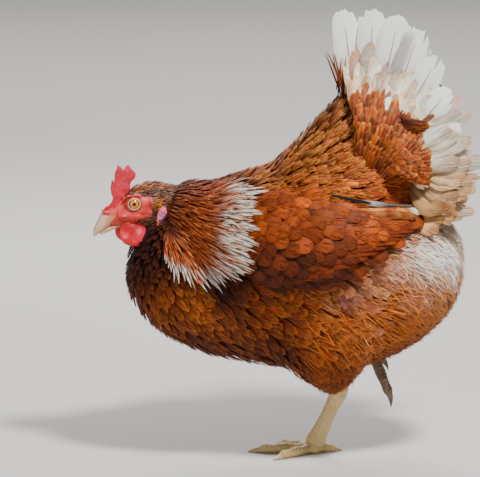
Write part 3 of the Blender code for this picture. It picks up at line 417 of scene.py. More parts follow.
# %% Chart: spot, lie, length, width, spacing and depth in mm, colour of middle and rim
BOTH, ONLY = True, False
# Painted shade: throat, breast, belly, underside, vent, the spot under the hackle's fan and the cream under the tail
# are painted darker than their feathers are.
CHART = (
    # mirrored, x, y, z, lie, length, width, spacing, depth, middle, rim
    (BOTH, -158, -14, 212, (-0.05, -0.10, -1.00), 13, 4.2, 3.4, 3.0, (32, 13, 6), (58, 26, 12)),
    (BOTH, -150, -30, 196, (0.10, -0.10, -1.00), 15, 4.8, 3.8, 4.0, (34, 14, 6), (62, 28, 12)),
    (BOTH, -173, -2, 190, (0.05, 0.00, -1.00), 18, 6.0, 4.6, 5.0, (66, 28, 10), (118, 58, 26)),
    (BOTH, -172, -18, 165, (0.25, -0.10, -1.00), 20, 6.8, 5.0, 5.0, (104, 46, 16), (156, 80, 36)),
    (BOTH, -150, -45, 160, (0.50, -0.10, -0.85), 21, 7.2, 5.2, 5.0, (142, 66, 26), (186, 106, 54)),
    (BOTH, -122, -60, 164, (0.80, -0.10, -0.60), 23, 8.0, 5.6, 5.0, (158, 76, 30), (204, 122, 66)),
    (BOTH, -100, -66, 185, (0.80, 0.00, -0.50), 22, 9.0, 6.4, 5.0, (60, 26, 9), (96, 46, 20)),
    (BOTH, -120, -35, 116, (0.85, 0.00, -0.45), 22, 8.0, 5.8, 4.5, (92, 40, 14), (140, 70, 32)),
    (BOTH, -60, 0, 90, (1.00, 0.00, -0.05), 22, 9.0, 6.4, 4.5, (84, 38, 15), (122, 66, 34)),
    (BOTH, -50, -55, 112, (0.95, 0.00, -0.15), 26, 10.0, 6.4, 5.0, (96, 44, 16), (146, 78, 38)),
    (BOTH, -60, -74, 148, (0.95, 0.00, -0.20), 28, 10.0, 6.6, 6.0, (142, 66, 26), (186, 106, 56)),
    (BOTH, -8, -77, 140, (0.90, 0.00, -0.40), 30, 11.0, 7.0, 6.0, (156, 74, 30), (198, 118, 64)),
    (BOTH, 52, -66, 162, (0.90, 0.00, -0.36), 32, 12.0, 7.2, 7.0, (178, 88, 38), (214, 140, 88)),
    (BOTH, 66, -58, 140, (0.85, 0.00, -0.50), 30, 11.0, 7.0, 7.0, (160, 76, 32), (200, 122, 70)),
    (BOTH, 112, -42, 208, (0.80, 0.00, -0.55), 34, 12.0, 6.8, 8.0, (246, 232, 214), (252, 242, 230)),
    (BOTH, 126, -25, 178, (0.70, 0.00, -0.70), 34, 12.0, 6.8, 8.0, (164, 112, 74), (204, 156, 112)),
    (BOTH, 104, -40, 168, (0.78, 0.00, -0.60), 32, 12.0, 6.8, 8.0, (166, 92, 48), (214, 150, 100)),
    (BOTH, 98, -36, 140, (0.75, 0.00, -0.65), 30, 11.0, 6.8, 8.0, (138, 72, 36), (190, 122, 76)),
    (BOTH, 76, -26, 108, (0.85, 0.00, -0.40), 28, 11.0, 6.8, 7.0, (100, 50, 24), (144, 84, 50)),
    (BOTH, 40, 0, 86, (1.00, 0.00, -0.05), 24, 11.0, 7.6, 5.0, (104, 54, 26), (150, 92, 54)),
    (BOTH, -90, -24, 260, (1.00, 0.00, 0.10), 23, 5.4, 4.4, 4.0, (100, 44, 15), (168, 98, 52)),
    (BOTH, -60, -18, 274, (1.00, 0.00, 0.05), 24, 4.8, 4.2, 5.0, (124, 56, 20), (196, 124, 74)),
    (BOTH, -20, -18, 282, (0.94, 0.00, 0.30), 24, 4.8, 4.2, 5.0, (130, 60, 22), (200, 130, 78)),
    (BOTH, -40, -52, 256, (1.00, 0.00, -0.05), 24, 6.8, 5.0, 5.0, (160, 76, 31), (194, 110, 58)),
    (BOTH, 8, -56, 258, (0.98, 0.00, 0.04), 25, 6.8, 5.0, 5.0, (160, 76, 31), (196, 114, 62)),
    (BOTH, 0, -8, 318, (0.68, 0.00, 0.73), 25, 5.0, 4.4, 6.0, (92, 40, 16), (180, 116, 72)),
    (BOTH, 26, -14, 342, (0.62, 0.00, 0.78), 24, 5.0, 4.4, 6.0, (104, 46, 18), (196, 138, 92)),
    (BOTH, 20, -42, 286, (0.86, 0.00, 0.50), 24, 6.4, 4.8, 6.0, (146, 66, 26), (198, 122, 72)),
    (BOTH, 50, -38, 312, (0.84, 0.00, 0.54), 24, 8.6, 6.2, 6.0, (144, 64, 25), (204, 134, 86)),
    (BOTH, 44, -50, 276, (0.95, 0.00, 0.28), 25, 10.0, 7.2, 6.0, (158, 72, 29), (196, 118, 70)),
    (BOTH, 80, -42, 284, (0.97, 0.00, 0.16), 26, 10.4, 7.4, 6.0, (142, 62, 24), (182, 102, 55)),
    (BOTH, 60, -56, 258, (0.98, 0.00, -0.02), 26, 11.0, 7.6, 6.0, (148, 64, 23), (176, 92, 44)),
    (BOTH, 90, -42, 256, (0.96, 0.00, -0.16), 26, 11.0, 7.4, 6.0, (76, 32, 12), (120, 58, 26)),
    (BOTH, 120, -22, 278, (0.80, 0.00, -0.30), 34, 14.0, 8.0, 6.0, (212, 188, 164), (232, 214, 196)),
    (BOTH, 104, -14, 330, (0.60, 0.00, 0.60), 28, 12.0, 8.0, 5.0, (236, 224, 210), (246, 238, 230)),
    (ONLY, 10, -76, 128, (0.70, 0.00, -0.70), 29, 11.0, 7.0, 6.0, (160, 76, 32), (200, 120, 66)),
    (ONLY, 40, -70, 132, (0.78, 0.00, -0.62), 29, 11.0, 7.0, 6.0, (166, 80, 34), (206, 128, 74)),
    (ONLY, 15, -60, 102, (0.25, 0.15, -0.95), 22, 9.0, 6.0, 5.0, (108, 50, 20), (150, 80, 40)),
    (ONLY, 22, -20, 76, (0.10, 0.00, -1.00), 12, 5.4, 4.2, 2.5, (98, 46, 20), (140, 78, 42)),
    (ONLY, 5, 76, 148, (0.85, 0.00, -0.50), 30, 12.0, 7.6, 6.0, (160, 76, 32), (200, 120, 66)),
    (ONLY, 50, 60, 138, (0.96, 0.00, -0.20), 22, 10.0, 6.4, 5.0, (140, 66, 28), (180, 104, 56)),
    (ONLY, 80, 36, 138, (1.00, -0.05, 0.05), 12, 6.0, 4.4, 2.5, (110, 52, 24), (150, 88, 50)),
)
# Patches where white or cream feathers show through: x, y, z and radius in mm, and how full
PALE_PATCHES = np.array((
    (-8, -79, 170, 12, 0.18), (14, -78, 178, 13, 0.22), (34, -76, 186, 15, 0.24), (60, -70, 198, 17, 0.42),
    (73, -60, 166, 9, 0.35), (112, -44, 212, 20, 1.00), (86, -54, 209, 17, 0.90), (41, -68, 136, 4, 0.70),
))
SPOTS, TRAITS = [], []
for mirrored_too, x, y, z, lie, length, width, spacing, depth, middle, rim in CHART:
    for flip in (1, -1) if mirrored_too else (1,):
        SPOTS.append((x / 1000, flip * y / 1000, z / 1000))
        lie_here = unit((lie[0], flip * lie[1], lie[2]))
        sizes = np.array((length, width, spacing, depth)) / 1000
        TRAITS.append(np.concatenate([lie_here, sizes, paint(*middle), paint(*rim)]))
SPOTS, TRAITS = np.array(SPOTS), np.array(TRAITS)


def traits_at(points):
    """Lie, length, width, spacing, depth, middle colour and rim colour at each point."""
    apart = np.linalg.norm(points[:, None, :] - SPOTS[None], axis=-1)
    weight = 1 / (apart + 0.006) ** 4.5
    return (weight[:, :, None] * TRAITS[None]).sum(1) / weight.sum(1)[:, None]


def paled(points, colours):
    """Colours of feathers at points, fading through peach to white in the pale patches."""
    places = xyz(points[:, 0], -np.abs(points[:, 1]), points[:, 2]) * 1000
    apart = np.linalg.norm(places[:, None] - PALE_PATCHES[None, :, :3], axis=-1) / PALE_PATCHES[:, 3]
    full = (PALE_PATCHES[:, 4] * smooth_step(1.35, 0.55, apart)).max(1)
    share = np.clip(full * rng.uniform(0.65, 1.15, len(points)), 0, 1)[:, None]
    return fade(colours, fade(paint(240, 172, 100), paint(255, 246, 234), share), share)


print("spots on the chart:", len(SPOTS))


# %% [markdown]
# ## The head
#
# The head is remeshed by itself with small voxels, because the face is bare and shows every fold. Skull,
# brow, cheek and the collar of the bill run together into it. It is made facing straight ahead and then
# turned a little towards the hen's left, as in the photograph.

# %% Tables of the head
HEAD_YAW = math.radians(14)
HEAD_PIVOT = np.array((-0.140, 0, 0.238))
EYE_PLACE = np.array((-0.1735, 0.0100, 0.2451))
EYE_RADIUS = 0.0064
EYE_AXIS = np.array((-0.16, 1, 0.04)) / np.linalg.norm((-0.16, 1, 0.04))
UPPER_BILL = (
    (-0.1890, 0.2350, 0.0078, 0.0080, -0.60), (-0.1930, 0.2330, 0.0074, 0.0080, -0.75),
    (-0.1973, 0.2307, 0.0068, 0.0078, -0.87), (-0.2026, 0.2251, 0.0055, 0.0055, -1.20),
    (-0.2069, 0.2200, 0.0038, 0.0036, -1.32), (-0.2096, 0.2159, 0.0018, 0.0017, -1.20),
    (-0.2105, 0.2136, 0.0006, 0.0006, -1.20),
)
LOWER_BILL = (
    (-0.1860, 0.2246, 0.0064, 0.0026, -0.30), (-0.1930, 0.2222, 0.0058, 0.0026, -0.40),
    (-0.1991, 0.2190, 0.0044, 0.0021, -0.50), (-0.2045, 0.2160, 0.0018, 0.0010, -0.50),
)
MOUTH_LINE = (
    (-0.2010, 0.0060, 0.2212), (-0.1960, 0.0072, 0.2230), (-0.1900, 0.0086, 0.2256),
    (-0.1830, 0.0102, 0.2278), (-0.1764, 0.0118, 0.2289),
)


def turned(points, yaw=HEAD_YAW):
    """Points of the head turned about the top of the neck."""
    c, s = math.cos(yaw), math.sin(yaw)
    return (points - HEAD_PIVOT) @ np.array(((c, s, 0), (-s, c, 0), (0, 0, 1))) + HEAD_PIVOT


def turned_back(points):
    return turned(points, -HEAD_YAW)


def mirrored(point, side):
    return np.array(point, float) * (1, side, 1)


def ball(centre, radii, sides=24):
    """A round body with its own radii along x, y and z."""
    turn = np.linspace(0, math.pi, sides // 2 + 1)[1:-1]
    centres = np.asarray(centre, float) + xyz(-np.cos(turn) * radii[0], 0, 0)
    side_way, up_way = np.tile(SIDE, (len(turn), 1)), np.tile((0.0, 0, 1), (len(turn), 1))
    return tube(ring_points(centres, side_way, up_way, radii[1] * np.sin(turn), radii[2] * np.sin(turn), sides))


def bill_tube(stations, count, sides=40, wider=0.0):
    """A tube through stations of x, z, half width, half height and how far the rings lean."""
    rows = along(stations, count)
    centres, up = xyz(rows[:, 0], 0, rows[:, 1]), unit(xyz(rows[:, 4], 0, 1))
    side_way = np.tile(SIDE, (count, 1))
    return tube(ring_points(centres, side_way, up, rows[:, 2] + wider, rows[:, 3] + wider, sides))


def round_eye(points, side):
    """Places seen from one eye's middle: the way there, how far off the eye's axis, and if in front."""
    axis = mirrored(EYE_AXIS, side)
    from_eye = points - mirrored(EYE_PLACE, side)
    ahead = from_eye @ axis
    return from_eye, np.linalg.norm(from_eye - ahead[:, None] * axis, axis=1), ahead > 0


# %% Head with sockets, lids and the line of the mouth
# Brow, cheek, ear, rim of the nostril and ridge over the mouth: middle and radii
FACE_SWELLS = (
    ((-0.172, 0.0108, 0.2534), (0.0115, 0.0034, 0.0024)), ((-0.168, 0.0115, 0.2335), (0.0130, 0.0036, 0.0052)),
    ((-0.1548, 0.0160, 0.2460), (0.0062, 0.0036, 0.0040)), ((-0.1975, 0.0048, 0.2372), (0.0048, 0.0024, 0.0016)),
    ((-0.1800, 0.0112, 0.2335), (0.0090, 0.0026, 0.0013)),
)
HEAD_VOXEL, HEAD_PASSES = 0.0009, 5
head_parts = [flat_tube(SKULL, 40, (0.12, 0, 1), 56), bill_tube(UPPER_BILL[:3], 8, wider=-0.0005)]
head_parts += [ball(mirrored(place, side), radii) for side in (LEFT, RIGHT) for place, radii in FACE_SWELLS]
head_points, head_normals, head_faces = run_together(
    mesh_object("head_form", *joined(head_parts)), HEAD_VOXEL, HEAD_PASSES)


def near_line(points, line):
    """How far each point lies from a line through some places."""
    least = np.full(len(points), 1.0)
    for a, b in zip(line[:-1], line[1:]):
        share = np.clip(((points - a) @ (b - a)) / ((b - a) @ (b - a)), 0, 1)
        least = np.minimum(least, np.linalg.norm(points - (a + share[:, None] * (b - a)), axis=1))
    return least


def from_mouth(points, side):
    return near_line(points, along([mirrored(p, side) for p in MOUTH_LINE], 20))


inwards = np.zeros(len(head_points))
for side in (LEFT, RIGHT):
    apart = from_mouth(head_points, side)
    inwards += 0.0011 * np.exp(-((apart / 0.0009) ** 2)) - 0.0005 * np.exp(-(((apart - 0.0022) / 0.0010) ** 2))
    _, aside, in_front = round_eye(head_points, side)
    inwards += np.where(in_front, 0.0040 * smooth_step(0.0070, 0.0052, aside), 0)
    fold = np.sin(aside * 2600) * smooth_step(0.0068, 0.0078, aside) * smooth_step(0.0135, 0.0095, aside)
    inwards += np.where(in_front, 0.00022 * fold, 0)
inwards += 0.00025 * mottle(head_points, 0.0016) + 0.0004 * mottle(head_points, 0.005)
head_points = head_points - head_normals * inwards[:, None]


def lid_rings(side):
    """The rim of bare skin round one eye: a ring whose edge hugs the eyeball."""
    around = 56
    out = mirrored(EYE_AXIS, side)
    right = unit(np.cross(out, (0, 0, 1)))
    up = np.cross(right, out)
    # how far off the eye's axis, and how far out along it
    profile = np.array((
        (0.0047, 0.0040), (0.00455, 0.0046), (0.0047, 0.0051), (0.0052, 0.0053), (0.0057, 0.0050),
        (0.0061, 0.0046), (0.0065, 0.0044), (0.0069, 0.0040), (0.0076, 0.0030), (0.0080, 0.0012),
    ))
    turn = np.linspace(0, 2 * math.pi, around, endpoint=False)
    spoke = right * (np.cos(turn) * 1.07)[:, None] + up * (np.sin(turn) * 0.93)[:, None]
    centre = mirrored(EYE_PLACE, side)
    points = centre + spoke[:, None] * profile[None, :, :1] + out * profile[None, :, 1:]
    wave = 1 + 0.02 * np.sin(turn * 9 + 1.3) + 0.015 * np.sin(turn * 17)
    points = centre + (points - centre) * wave[:, None, None]
    i, k = np.meshgrid(np.arange(around), np.arange(len(profile) - 1), indexing="ij")
    n, across = (i + 1) % around, len(profile)
    a, b, c, d = i * across + k, n * across + k, n * across + k + 1, i * across + k + 1
    if side == RIGHT:
        a, b, c, d = d, c, b, a
    return points.reshape(-1, 3), halves(a, b, c, d)


head_points, head_faces = joined([(head_points, head_faces), lid_rings(LEFT), lid_rings(RIGHT)])
head_points = turned(head_points)
print("head triangles:", len(head_faces))


# %% [markdown]
# ## Legs
#
# Shank, foot and toes are bare but scaled. They are remeshed together, so that the toes grow out of the
# foot, and then the scutes are raised: each point looks up its place along the nearest toe or shank, and
# a saw-tooth along that way makes one plate lie over the next. Scutes are tall on the front and shallow
# behind, where the real ones are small and round.

# %% Tables of the legs
SHANK_LEFT = (
    (0.0250, -0.0155, 0.0720, 0.0092, 0.0078), (0.0232, -0.0125, 0.0610, 0.0088, 0.0072),
    (0.0195, -0.0095, 0.0510, 0.0072, 0.0058), (0.0130, -0.0055, 0.0360, 0.0070, 0.0055),
    (0.0065, -0.0020, 0.0210, 0.0080, 0.0064), (0.0025, 0.0000, 0.0125, 0.0092, 0.0080),
    (0.0010, 0.0000, 0.0070, 0.0078, 0.0070),
)
SHANK_RIGHT = (
    (0.1060, 0.0320, 0.1520, 0.0090, 0.0074), (0.0880, 0.0330, 0.1310, 0.0072, 0.0058),
    (0.0740, 0.0340, 0.1140, 0.0070, 0.0056), (0.0620, 0.0345, 0.0990, 0.0082, 0.0068),
)
SOLE_HEIGHT = 0.0052
# toe: turn from straight ahead in degrees, length without claw, thickness, claw length
TOES = {
    "inner": (38, 0.034, 0.0046, 0.011), "middle": (0, 0.048, 0.0050, 0.012),
    "outer": (-40, 0.038, 0.0045, 0.010), "hind": (168, 0.017, 0.0040, 0.009),
}
TOE_SWELL = ((0, 1.15), (0.28, 0.95), (0.5, 1.08), (0.74, 0.88), (0.9, 0.95), (1.0, 0.62))
LIFTED_FOOT = np.array((0.0555, 0.0350, 0.0960))
LIFTED_HANG = unit((0.38, 0.00, -0.92))
LIFTED_HIND = unit((0.70, -0.10, -0.70))
LIFTED_SPREAD = 0.33
SCUTE = 0.0040
LEG_VOXEL, LEG_PASSES = 0.0008, 3

# %% Legs with scutes
def toe_ways(flat):
    """Each toe's direction, and its stations of x, y, z, half depth and half width."""
    made = {}
    for toe, (turn, length, thick, _) in TOES.items():
        angle = math.radians(turn) * (1 if flat else LIFTED_SPREAD)
        if flat:
            centre, ahead, aside = np.array((0, 0, SOLE_HEIGHT)), np.array((-1.0, 0, 0)), np.array((0, 1.0, 0))
            hind = unit((0.97, 0.22, 0))
        else:
            centre, ahead, aside, hind = LIFTED_FOOT, LIFTED_HANG, np.array((0, -1.0, 0)), LIFTED_HIND
        way = hind if toe == "hind" else unit(ahead * math.cos(angle) + aside * math.sin(angle))
        stations = []
        for share, swell in TOE_SWELL:
            middle = centre + way * (0.003 + length * share)
            if flat:
                middle[2] = thick * swell * 0.86 + (SOLE_HEIGHT - thick) * (1 - share) * 0.6
            stations.append((*middle, thick * swell, thick * swell))
        made[toe] = (way, stations)
    return made


def leg_form(name, shank, flat):
    """One bare leg with its scutes: points, triangles and how far each point was raised."""
    toes = toe_ways(flat)
    foot = np.array((0, 0, SOLE_HEIGHT)) if flat else LIFTED_FOOT
    parts = [bent_tube(shank, 40), ball(foot, (0.0098, 0.0088, 0.0070))]
    parts += [bent_tube(stations, 24, 20) for _, stations in toes.values()]
    points, normals, faces = run_together(mesh_object(name, *joined(parts)), LEG_VOXEL, LEG_PASSES)
    ways = [(along(shank, 60), (-1.0, 0.15, 0.2), 1.0)]
    for toe, (way, stations) in toes.items():
        above = (0.0, 0, 1.0) if flat else np.cross(way, (0, 1.0, 0)) * (-1 if way[0] > 0.6 else 1)
        ways.append((along(stations, 40), above, 0.8))
    best, rise = np.full(len(points), 1.0), np.zeros(len(points))
    for n, (rows, front, height) in enumerate(ways):
        apart = np.linalg.norm(points[:, None] - rows[None, :, :3], axis=-1) / rows[None, :, 3]
        nearest = apart.argmin(1)
        length = np.concatenate([[0], np.linalg.norm(np.diff(rows[:, :3], axis=0), axis=1).cumsum()])
        step = unit(np.gradient(rows[:, :3], axis=0))[nearest]
        from_row = points - rows[nearest, :3]
        ahead = (from_row * step).sum(1)
        place = length[nearest] + ahead
        around = unit(from_row - ahead[:, None] * step)
        facing = around @ unit(front)
        saw = (place / SCUTE + 0.5 * (around[:, 1] > 0) * (n == 0)) % 1.0
        plates = (saw ** 1.5 - 0.35) * smooth_step(-0.1, 0.5, facing)
        pebbles = np.sin(place * 4200) * np.sin(np.arccos(np.clip(facing, -1, 1)) * 9) * smooth_step(0.3, -0.3, facing)
        here = height * (0.00075 * plates + 0.00026 * pebbles)
        closer = apart.min(1) < best
        best = np.where(closer, apart.min(1), best)
        rise = np.where(closer, here, rise)
    points = points + normals * rise[:, None]
    if flat:
        points[:, 2] = np.maximum(points[:, 2], 0)
    return points, faces, rise


leg_points, leg_faces, leg_rises = {}, {}, {}
for word, shank, flat in (("left", SHANK_LEFT, True), ("right", SHANK_RIGHT, False)):
    leg_points[word], leg_faces[word], leg_rises[word] = leg_form(word + "_leg_form", shank, flat)
    print(word, "leg triangles:", len(leg_faces[word]))


# %% [markdown]
# ## One skin
#
# The skin of the body is the form drawn inwards by the depth of the coat, and pushed out again under the
# folded wings. Head and legs join it as they are. It closes every gap between feathers with a warm, dull
# tone darkened as painted shade, instead of a hole. It is unfolded flat once, and every feather later keeps
# its own small patch of that unfolding at the place of its root.

# %% Skin of body, head and legs
skin_depth = traits_at(form_points)[:, 6] * 1.15
thickness, under_wing = wing_thickness(form_points[:, 0], form_points[:, 2])
under_wing &= np.abs(form_normals[:, 1]) > 0.35
skin_depth = np.where(under_wing, 0.0035 - 0.7 * thickness, skin_depth)
body_points = form_points - form_normals * skin_depth[:, None]
skin = mesh_object("skin", *joined([
    (body_points, form_faces), (head_points, head_faces),
    (leg_points["left"], leg_faces["left"]), (leg_points["right"], leg_faces["right"]),
]))
bpy.context.view_layer.objects.active = skin
skin.select_set(True)
bpy.ops.object.mode_set(mode="EDIT")
bpy.ops.mesh.select_all(action="SELECT")
bpy.ops.uv.smart_project(angle_limit=math.radians(66), island_margin=0.002)
bpy.ops.object.mode_set(mode="OBJECT")
skin.data.uv_layers[0].name = "OFBake"
skin_uv = read(skin.data.uv_layers["OFBake"].data, "uv", 2).reshape(-1, 3, 2)
skin_normals = read(skin.data.vertices, "normal")
print("skin triangles:", len(skin.data.polygons))


class Ground:
    """A surface that feathers grow from, with its place on the unfolded skin."""

    def __init__(self, points, normals, faces, first_face):
        self.points, self.normals, self.faces = points, normals, faces
        self.first_face = first_face
        self.tree = BVHTree.FromPolygons([tuple(p) for p in points], faces.tolist())

    def nearest(self, point):
        """The nearest place: its point, smooth normal and triangle."""
        place, _, face, _ = self.tree.find_nearest(Vector(point))
        return np.array(place), unit(self.normals[self.faces[face]].mean(0)), face

    def patch(self, points, faces):
        """The place of each root on the unfolded skin, from its triangle and its place in it."""
        corners = self.points[self.faces[faces]]
        a, b, c = corners[:, 0], corners[:, 1], corners[:, 2]
        total = np.linalg.norm(np.cross(b - a, c - a), axis=1)
        first = np.linalg.norm(np.cross(c - b, points - b), axis=1)
        second = np.linalg.norm(np.cross(a - c, points - c), axis=1)
        shares = np.stack([first, second, np.maximum(total - first - second, 0)], -1)
        shares /= np.maximum(shares.sum(1, keepdims=True), 1e-12)
        return (skin_uv[self.first_face + faces] * shares[:, :, None]).sum(1)

    def roots(self, lines):
        """The place on the unfolded skin of the root of each middle line."""
        return self.patch(lines[:, 0], np.array([self.nearest(p)[2] for p in lines[:, 0]]))


body_ground = Ground(form_points, form_normals, form_faces, 0)
head_start = len(body_points)
head_normals = skin_normals[head_start : head_start + len(head_points)]
head_ground = Ground(head_points, head_normals, head_faces, len(form_faces))


# %% [markdown]
# ## The feather
#
# A feather is a vane: a thin closed plate that is narrow at the root, wide in the middle and round or
# pointed at the tip, bent along the body and arched across. All feathers of one kind share one grid of
# rows and columns, so thousands are made at once as arrays. The tip is rounded and pulled in unevenly,
# because barbs part at the rim, and now and then a split runs deep into the vane.

# %% Feather shapes
# kind: rows, columns, width at the root, where it is widest, width at the tip, how round the tip is
KINDS = {
    "contour": (5, 9, 0.50, 0.60, 0.90, 1.0),
    "covert": (6, 9, 0.50, 0.62, 0.92, 1.0),
    "pointed": (6, 7, 0.50, 0.40, 0.34, 1.3),
    "small": (5, 5, 0.50, 0.45, 0.40, 1.2),
    "saddle": (6, 7, 0.50, 0.58, 0.78, 1.05),
    "lance": (8, 5, 0.45, 0.45, 0.16, 1.2),
    "lobe": (9, 9, 0.35, 0.60, 0.66, 1.15),
    "quill": (14, 15, 0.30, 0.60, 0.86, 0.9),
    "strand": (4, 3, 0.60, 0.40, 0.10, 0.6),
}
VANE_THICKNESS = 0.0004
# The side of one feather's patch in the map OFBake
PATCH = 0.003


def vane_grid(kind):
    """Places along and across one vane, and how wide it is there."""
    rows, columns, root_width, widest, tip_width, _ = KINDS[kind]
    s = 1 - (1 - np.linspace(0, 1, rows)) ** 1.25
    t = np.linspace(-1, 1, columns)
    rise = root_width + (1 - root_width) * smooth_step(0, widest, s)
    fall = 1 - (1 - tip_width) * np.clip((s - widest) / (1 - widest), 0, 1) ** 1.6
    return s, t, np.where(s < widest, rise, fall)


def vane_faces(rows, columns):
    """Four-cornered faces of one closed vane. The two sides share the points of the rim."""
    top = np.arange(rows * columns).reshape(rows, columns)
    under = top.copy()
    under[1:-1, 1:-1] = rows * columns + np.arange((rows - 2) * (columns - 2)).reshape(rows - 2, columns - 2)
    faces = []
    for grid, order in ((top, (0, 1, 2, 3)), (under, (3, 2, 1, 0))):
        corners = (grid[:-1, :-1], grid[:-1, 1:], grid[1:, 1:], grid[1:, :-1])
        faces.append(np.stack([corners[k] for k in order], -1).reshape(-1, 4))
    return np.concatenate(faces)


def rim_order(rows, columns):
    """The place of each point in the loop round the rim, or -1 inside the vane."""
    order = np.full(rows * columns + (rows - 2) * (columns - 2), -1)
    loop = [(0, j) for j in range(columns)] + [(i, columns - 1) for i in range(1, rows)]
    loop += [(rows - 1, j) for j in range(columns - 2, -1, -1)] + [(i, 0) for i in range(rows - 2, 0, -1)]
    for n, (i, j) in enumerate(loop):
        order[i * columns + j] = n
    return order, len(loop)


# %% Feathers from their middle lines
def set_tint(obj, tint):
    """Paints one colour on each point."""
    colours = obj.data.color_attributes.new(name="tint", type="FLOAT_COLOR", domain="POINT")
    colours.data.foreach_set("color", np.concatenate([tint, np.ones((len(tint), 1))], 1).astype(np.float32).ravel())


def worn(obj, material):
    """Gives a piece its material and slot, and ties it to the hen."""
    obj.data.materials.append(material)
    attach(obj, "root")


def feather_object(name, kind, lines, outwards, widths, patches, colour, material, slot_name, camber=0.12,
                   ragged=0.12, splits=0.35, roll=0.05, tilt=0.0, thick=VANE_THICKNESS):
    """One object of many vanes. lines and outwards are arrays of feather, step and coordinate. colour is a
    function of the place along, the place across and the number of the feather."""
    count, steps = lines.shape[:2]
    rows, columns, _, _, _, roundness = KINDS[kind]
    s, t, profile = vane_grid(kind)
    length = np.linalg.norm(np.diff(lines, axis=1), axis=-1).sum(1)
    pulled = roundness * 0.5 * (1 - np.sqrt(1 - 0.98 * t**2)) + ragged * rng.random((count, columns))
    chosen = rng.random(count) < splits
    column = rng.integers(1, columns - 1, count)
    pulled[np.arange(count)[chosen], column[chosen]] += rng.uniform(0.3, 0.8, chosen.sum())
    tip = 1 - np.clip(pulled * (widths / length)[:, None], 0, 0.6)
    place = s[None, :, None] * (1 - (1 - tip[:, None, :]) * (s[None, :, None] ** 1.5))
    where = np.clip(place, 0, 1) * (steps - 1)
    low = np.minimum(where.astype(int), steps - 2)
    share = (where - low)[..., None]
    index = np.arange(count)[:, None, None]
    ahead = unit(np.gradient(lines, axis=1))
    middle, out, ahead = (fade(row[index, low], row[index, low + 1], share) for row in (lines, outwards, ahead))
    out = unit(out)
    across = unit(np.cross(ahead, out))
    half = widths[:, None, None] / 2 * profile[None, :, None] * np.ones((1, 1, columns))
    half = half * (1 - 0.5 * ragged * rng.random((count, rows, columns)) * (np.abs(t) > 0.9))
    sideways = half * t[None, None, :]
    rolled = (tilt + roll * rng.standard_normal(count))[:, None, None] * sideways
    arch = -camber * half * np.abs(t[None, None, :]) ** 1.8
    top = middle + across * sideways[..., None] + out * (rolled + arch)[..., None]
    under = (top - out * thick)[:, 1:-1, 1:-1]
    points = np.concatenate([top.reshape(count, -1, 3), under.reshape(count, -1, 3)], 1)
    per_vane = points.shape[1]
    faces = vane_faces(rows, columns)
    all_faces = (faces[None] + per_vane * np.arange(count)[:, None, None]).reshape(-1, 4)
    obj = mesh_object(name, points.reshape(-1, 3), all_faces)
    mesh = obj.data

    along_here = np.broadcast_to(place, (count, rows, columns))
    across_here = np.broadcast_to(t[None, None, :], (count, rows, columns))
    number = np.broadcast_to(np.arange(count)[:, None, None], (count, rows, columns))
    tint = colour(along_here, across_here, number)
    fine = np.stack([sideways * 1000, place * length[:, None, None] * 1000, number * 7.31 % 50.0], -1)

    def both_sides(values):
        depth = values.shape[-1]
        inner = values[:, 1:-1, 1:-1].reshape(count, -1, depth)
        return np.concatenate([values.reshape(count, -1, depth), inner], 1).reshape(-1, depth)

    set_tint(obj, both_sides(tint))
    barbs = mesh.attributes.new(name="barbs", type="FLOAT_VECTOR", domain="POINT")
    barbs.data.foreach_set("vector", both_sides(fine).astype(np.float32).ravel())
    spread = np.stack([across_here * PATCH / 2, (along_here - 0.5) * PATCH], -1) + patches[:, None, None, :]
    uv = both_sides(spread)[all_faces.ravel()]
    layer = mesh.uv_layers.new(name="OFBake")
    layer.data.foreach_set("uv", uv.astype(np.float32).ravel())

    order, loop = rim_order(rows, columns)
    edges = np.empty(len(mesh.edges) * 2, np.int32)
    mesh.edges.foreach_get("vertices", edges)
    ends = order[edges.reshape(-1, 2) % per_vane]
    step = np.abs(ends[:, 0] - ends[:, 1])
    on_rim = (ends >= 0).all(1) & ((step == 1) | (step == loop - 1))
    sharp = mesh.attributes.new(name="sharp_edge", type="BOOLEAN", domain="EDGE")
    sharp.data.foreach_set("value", on_rim)
    worn(obj, material)
    print(name, "feathers:", count, "triangles:", 2 * len(all_faces))


# %% [markdown]
# The feather's material reads the painted tint, and adds what is too fine for corners: barbs run
# slantwise from the shaft, so a streaked noise is laid along them, both as colour and as a slight relief.

# %% Feather material
def new_material(name):
    material = bpy.data.materials.new(name)
    material.use_nodes = True
    return material, material.node_tree, material.node_tree.nodes["Principled BSDF"]


def feed(tree, node, inputs):
    """Sets inputs of a node: another node's socket is linked, and anything else is a value."""
    for key, value in inputs.items():
        if isinstance(value, bpy.types.NodeSocket):
            tree.links.new(value, node.inputs[key])
        else:
            node.inputs[key].default_value = value


def node_of(tree, kind, inputs, **settings):
    """A new node, fed and set. What comes back are its outputs."""
    made = tree.nodes.new("ShaderNode" + kind)
    for key, value in settings.items():
        setattr(made, key, value)
    feed(tree, made, inputs)
    return made.outputs


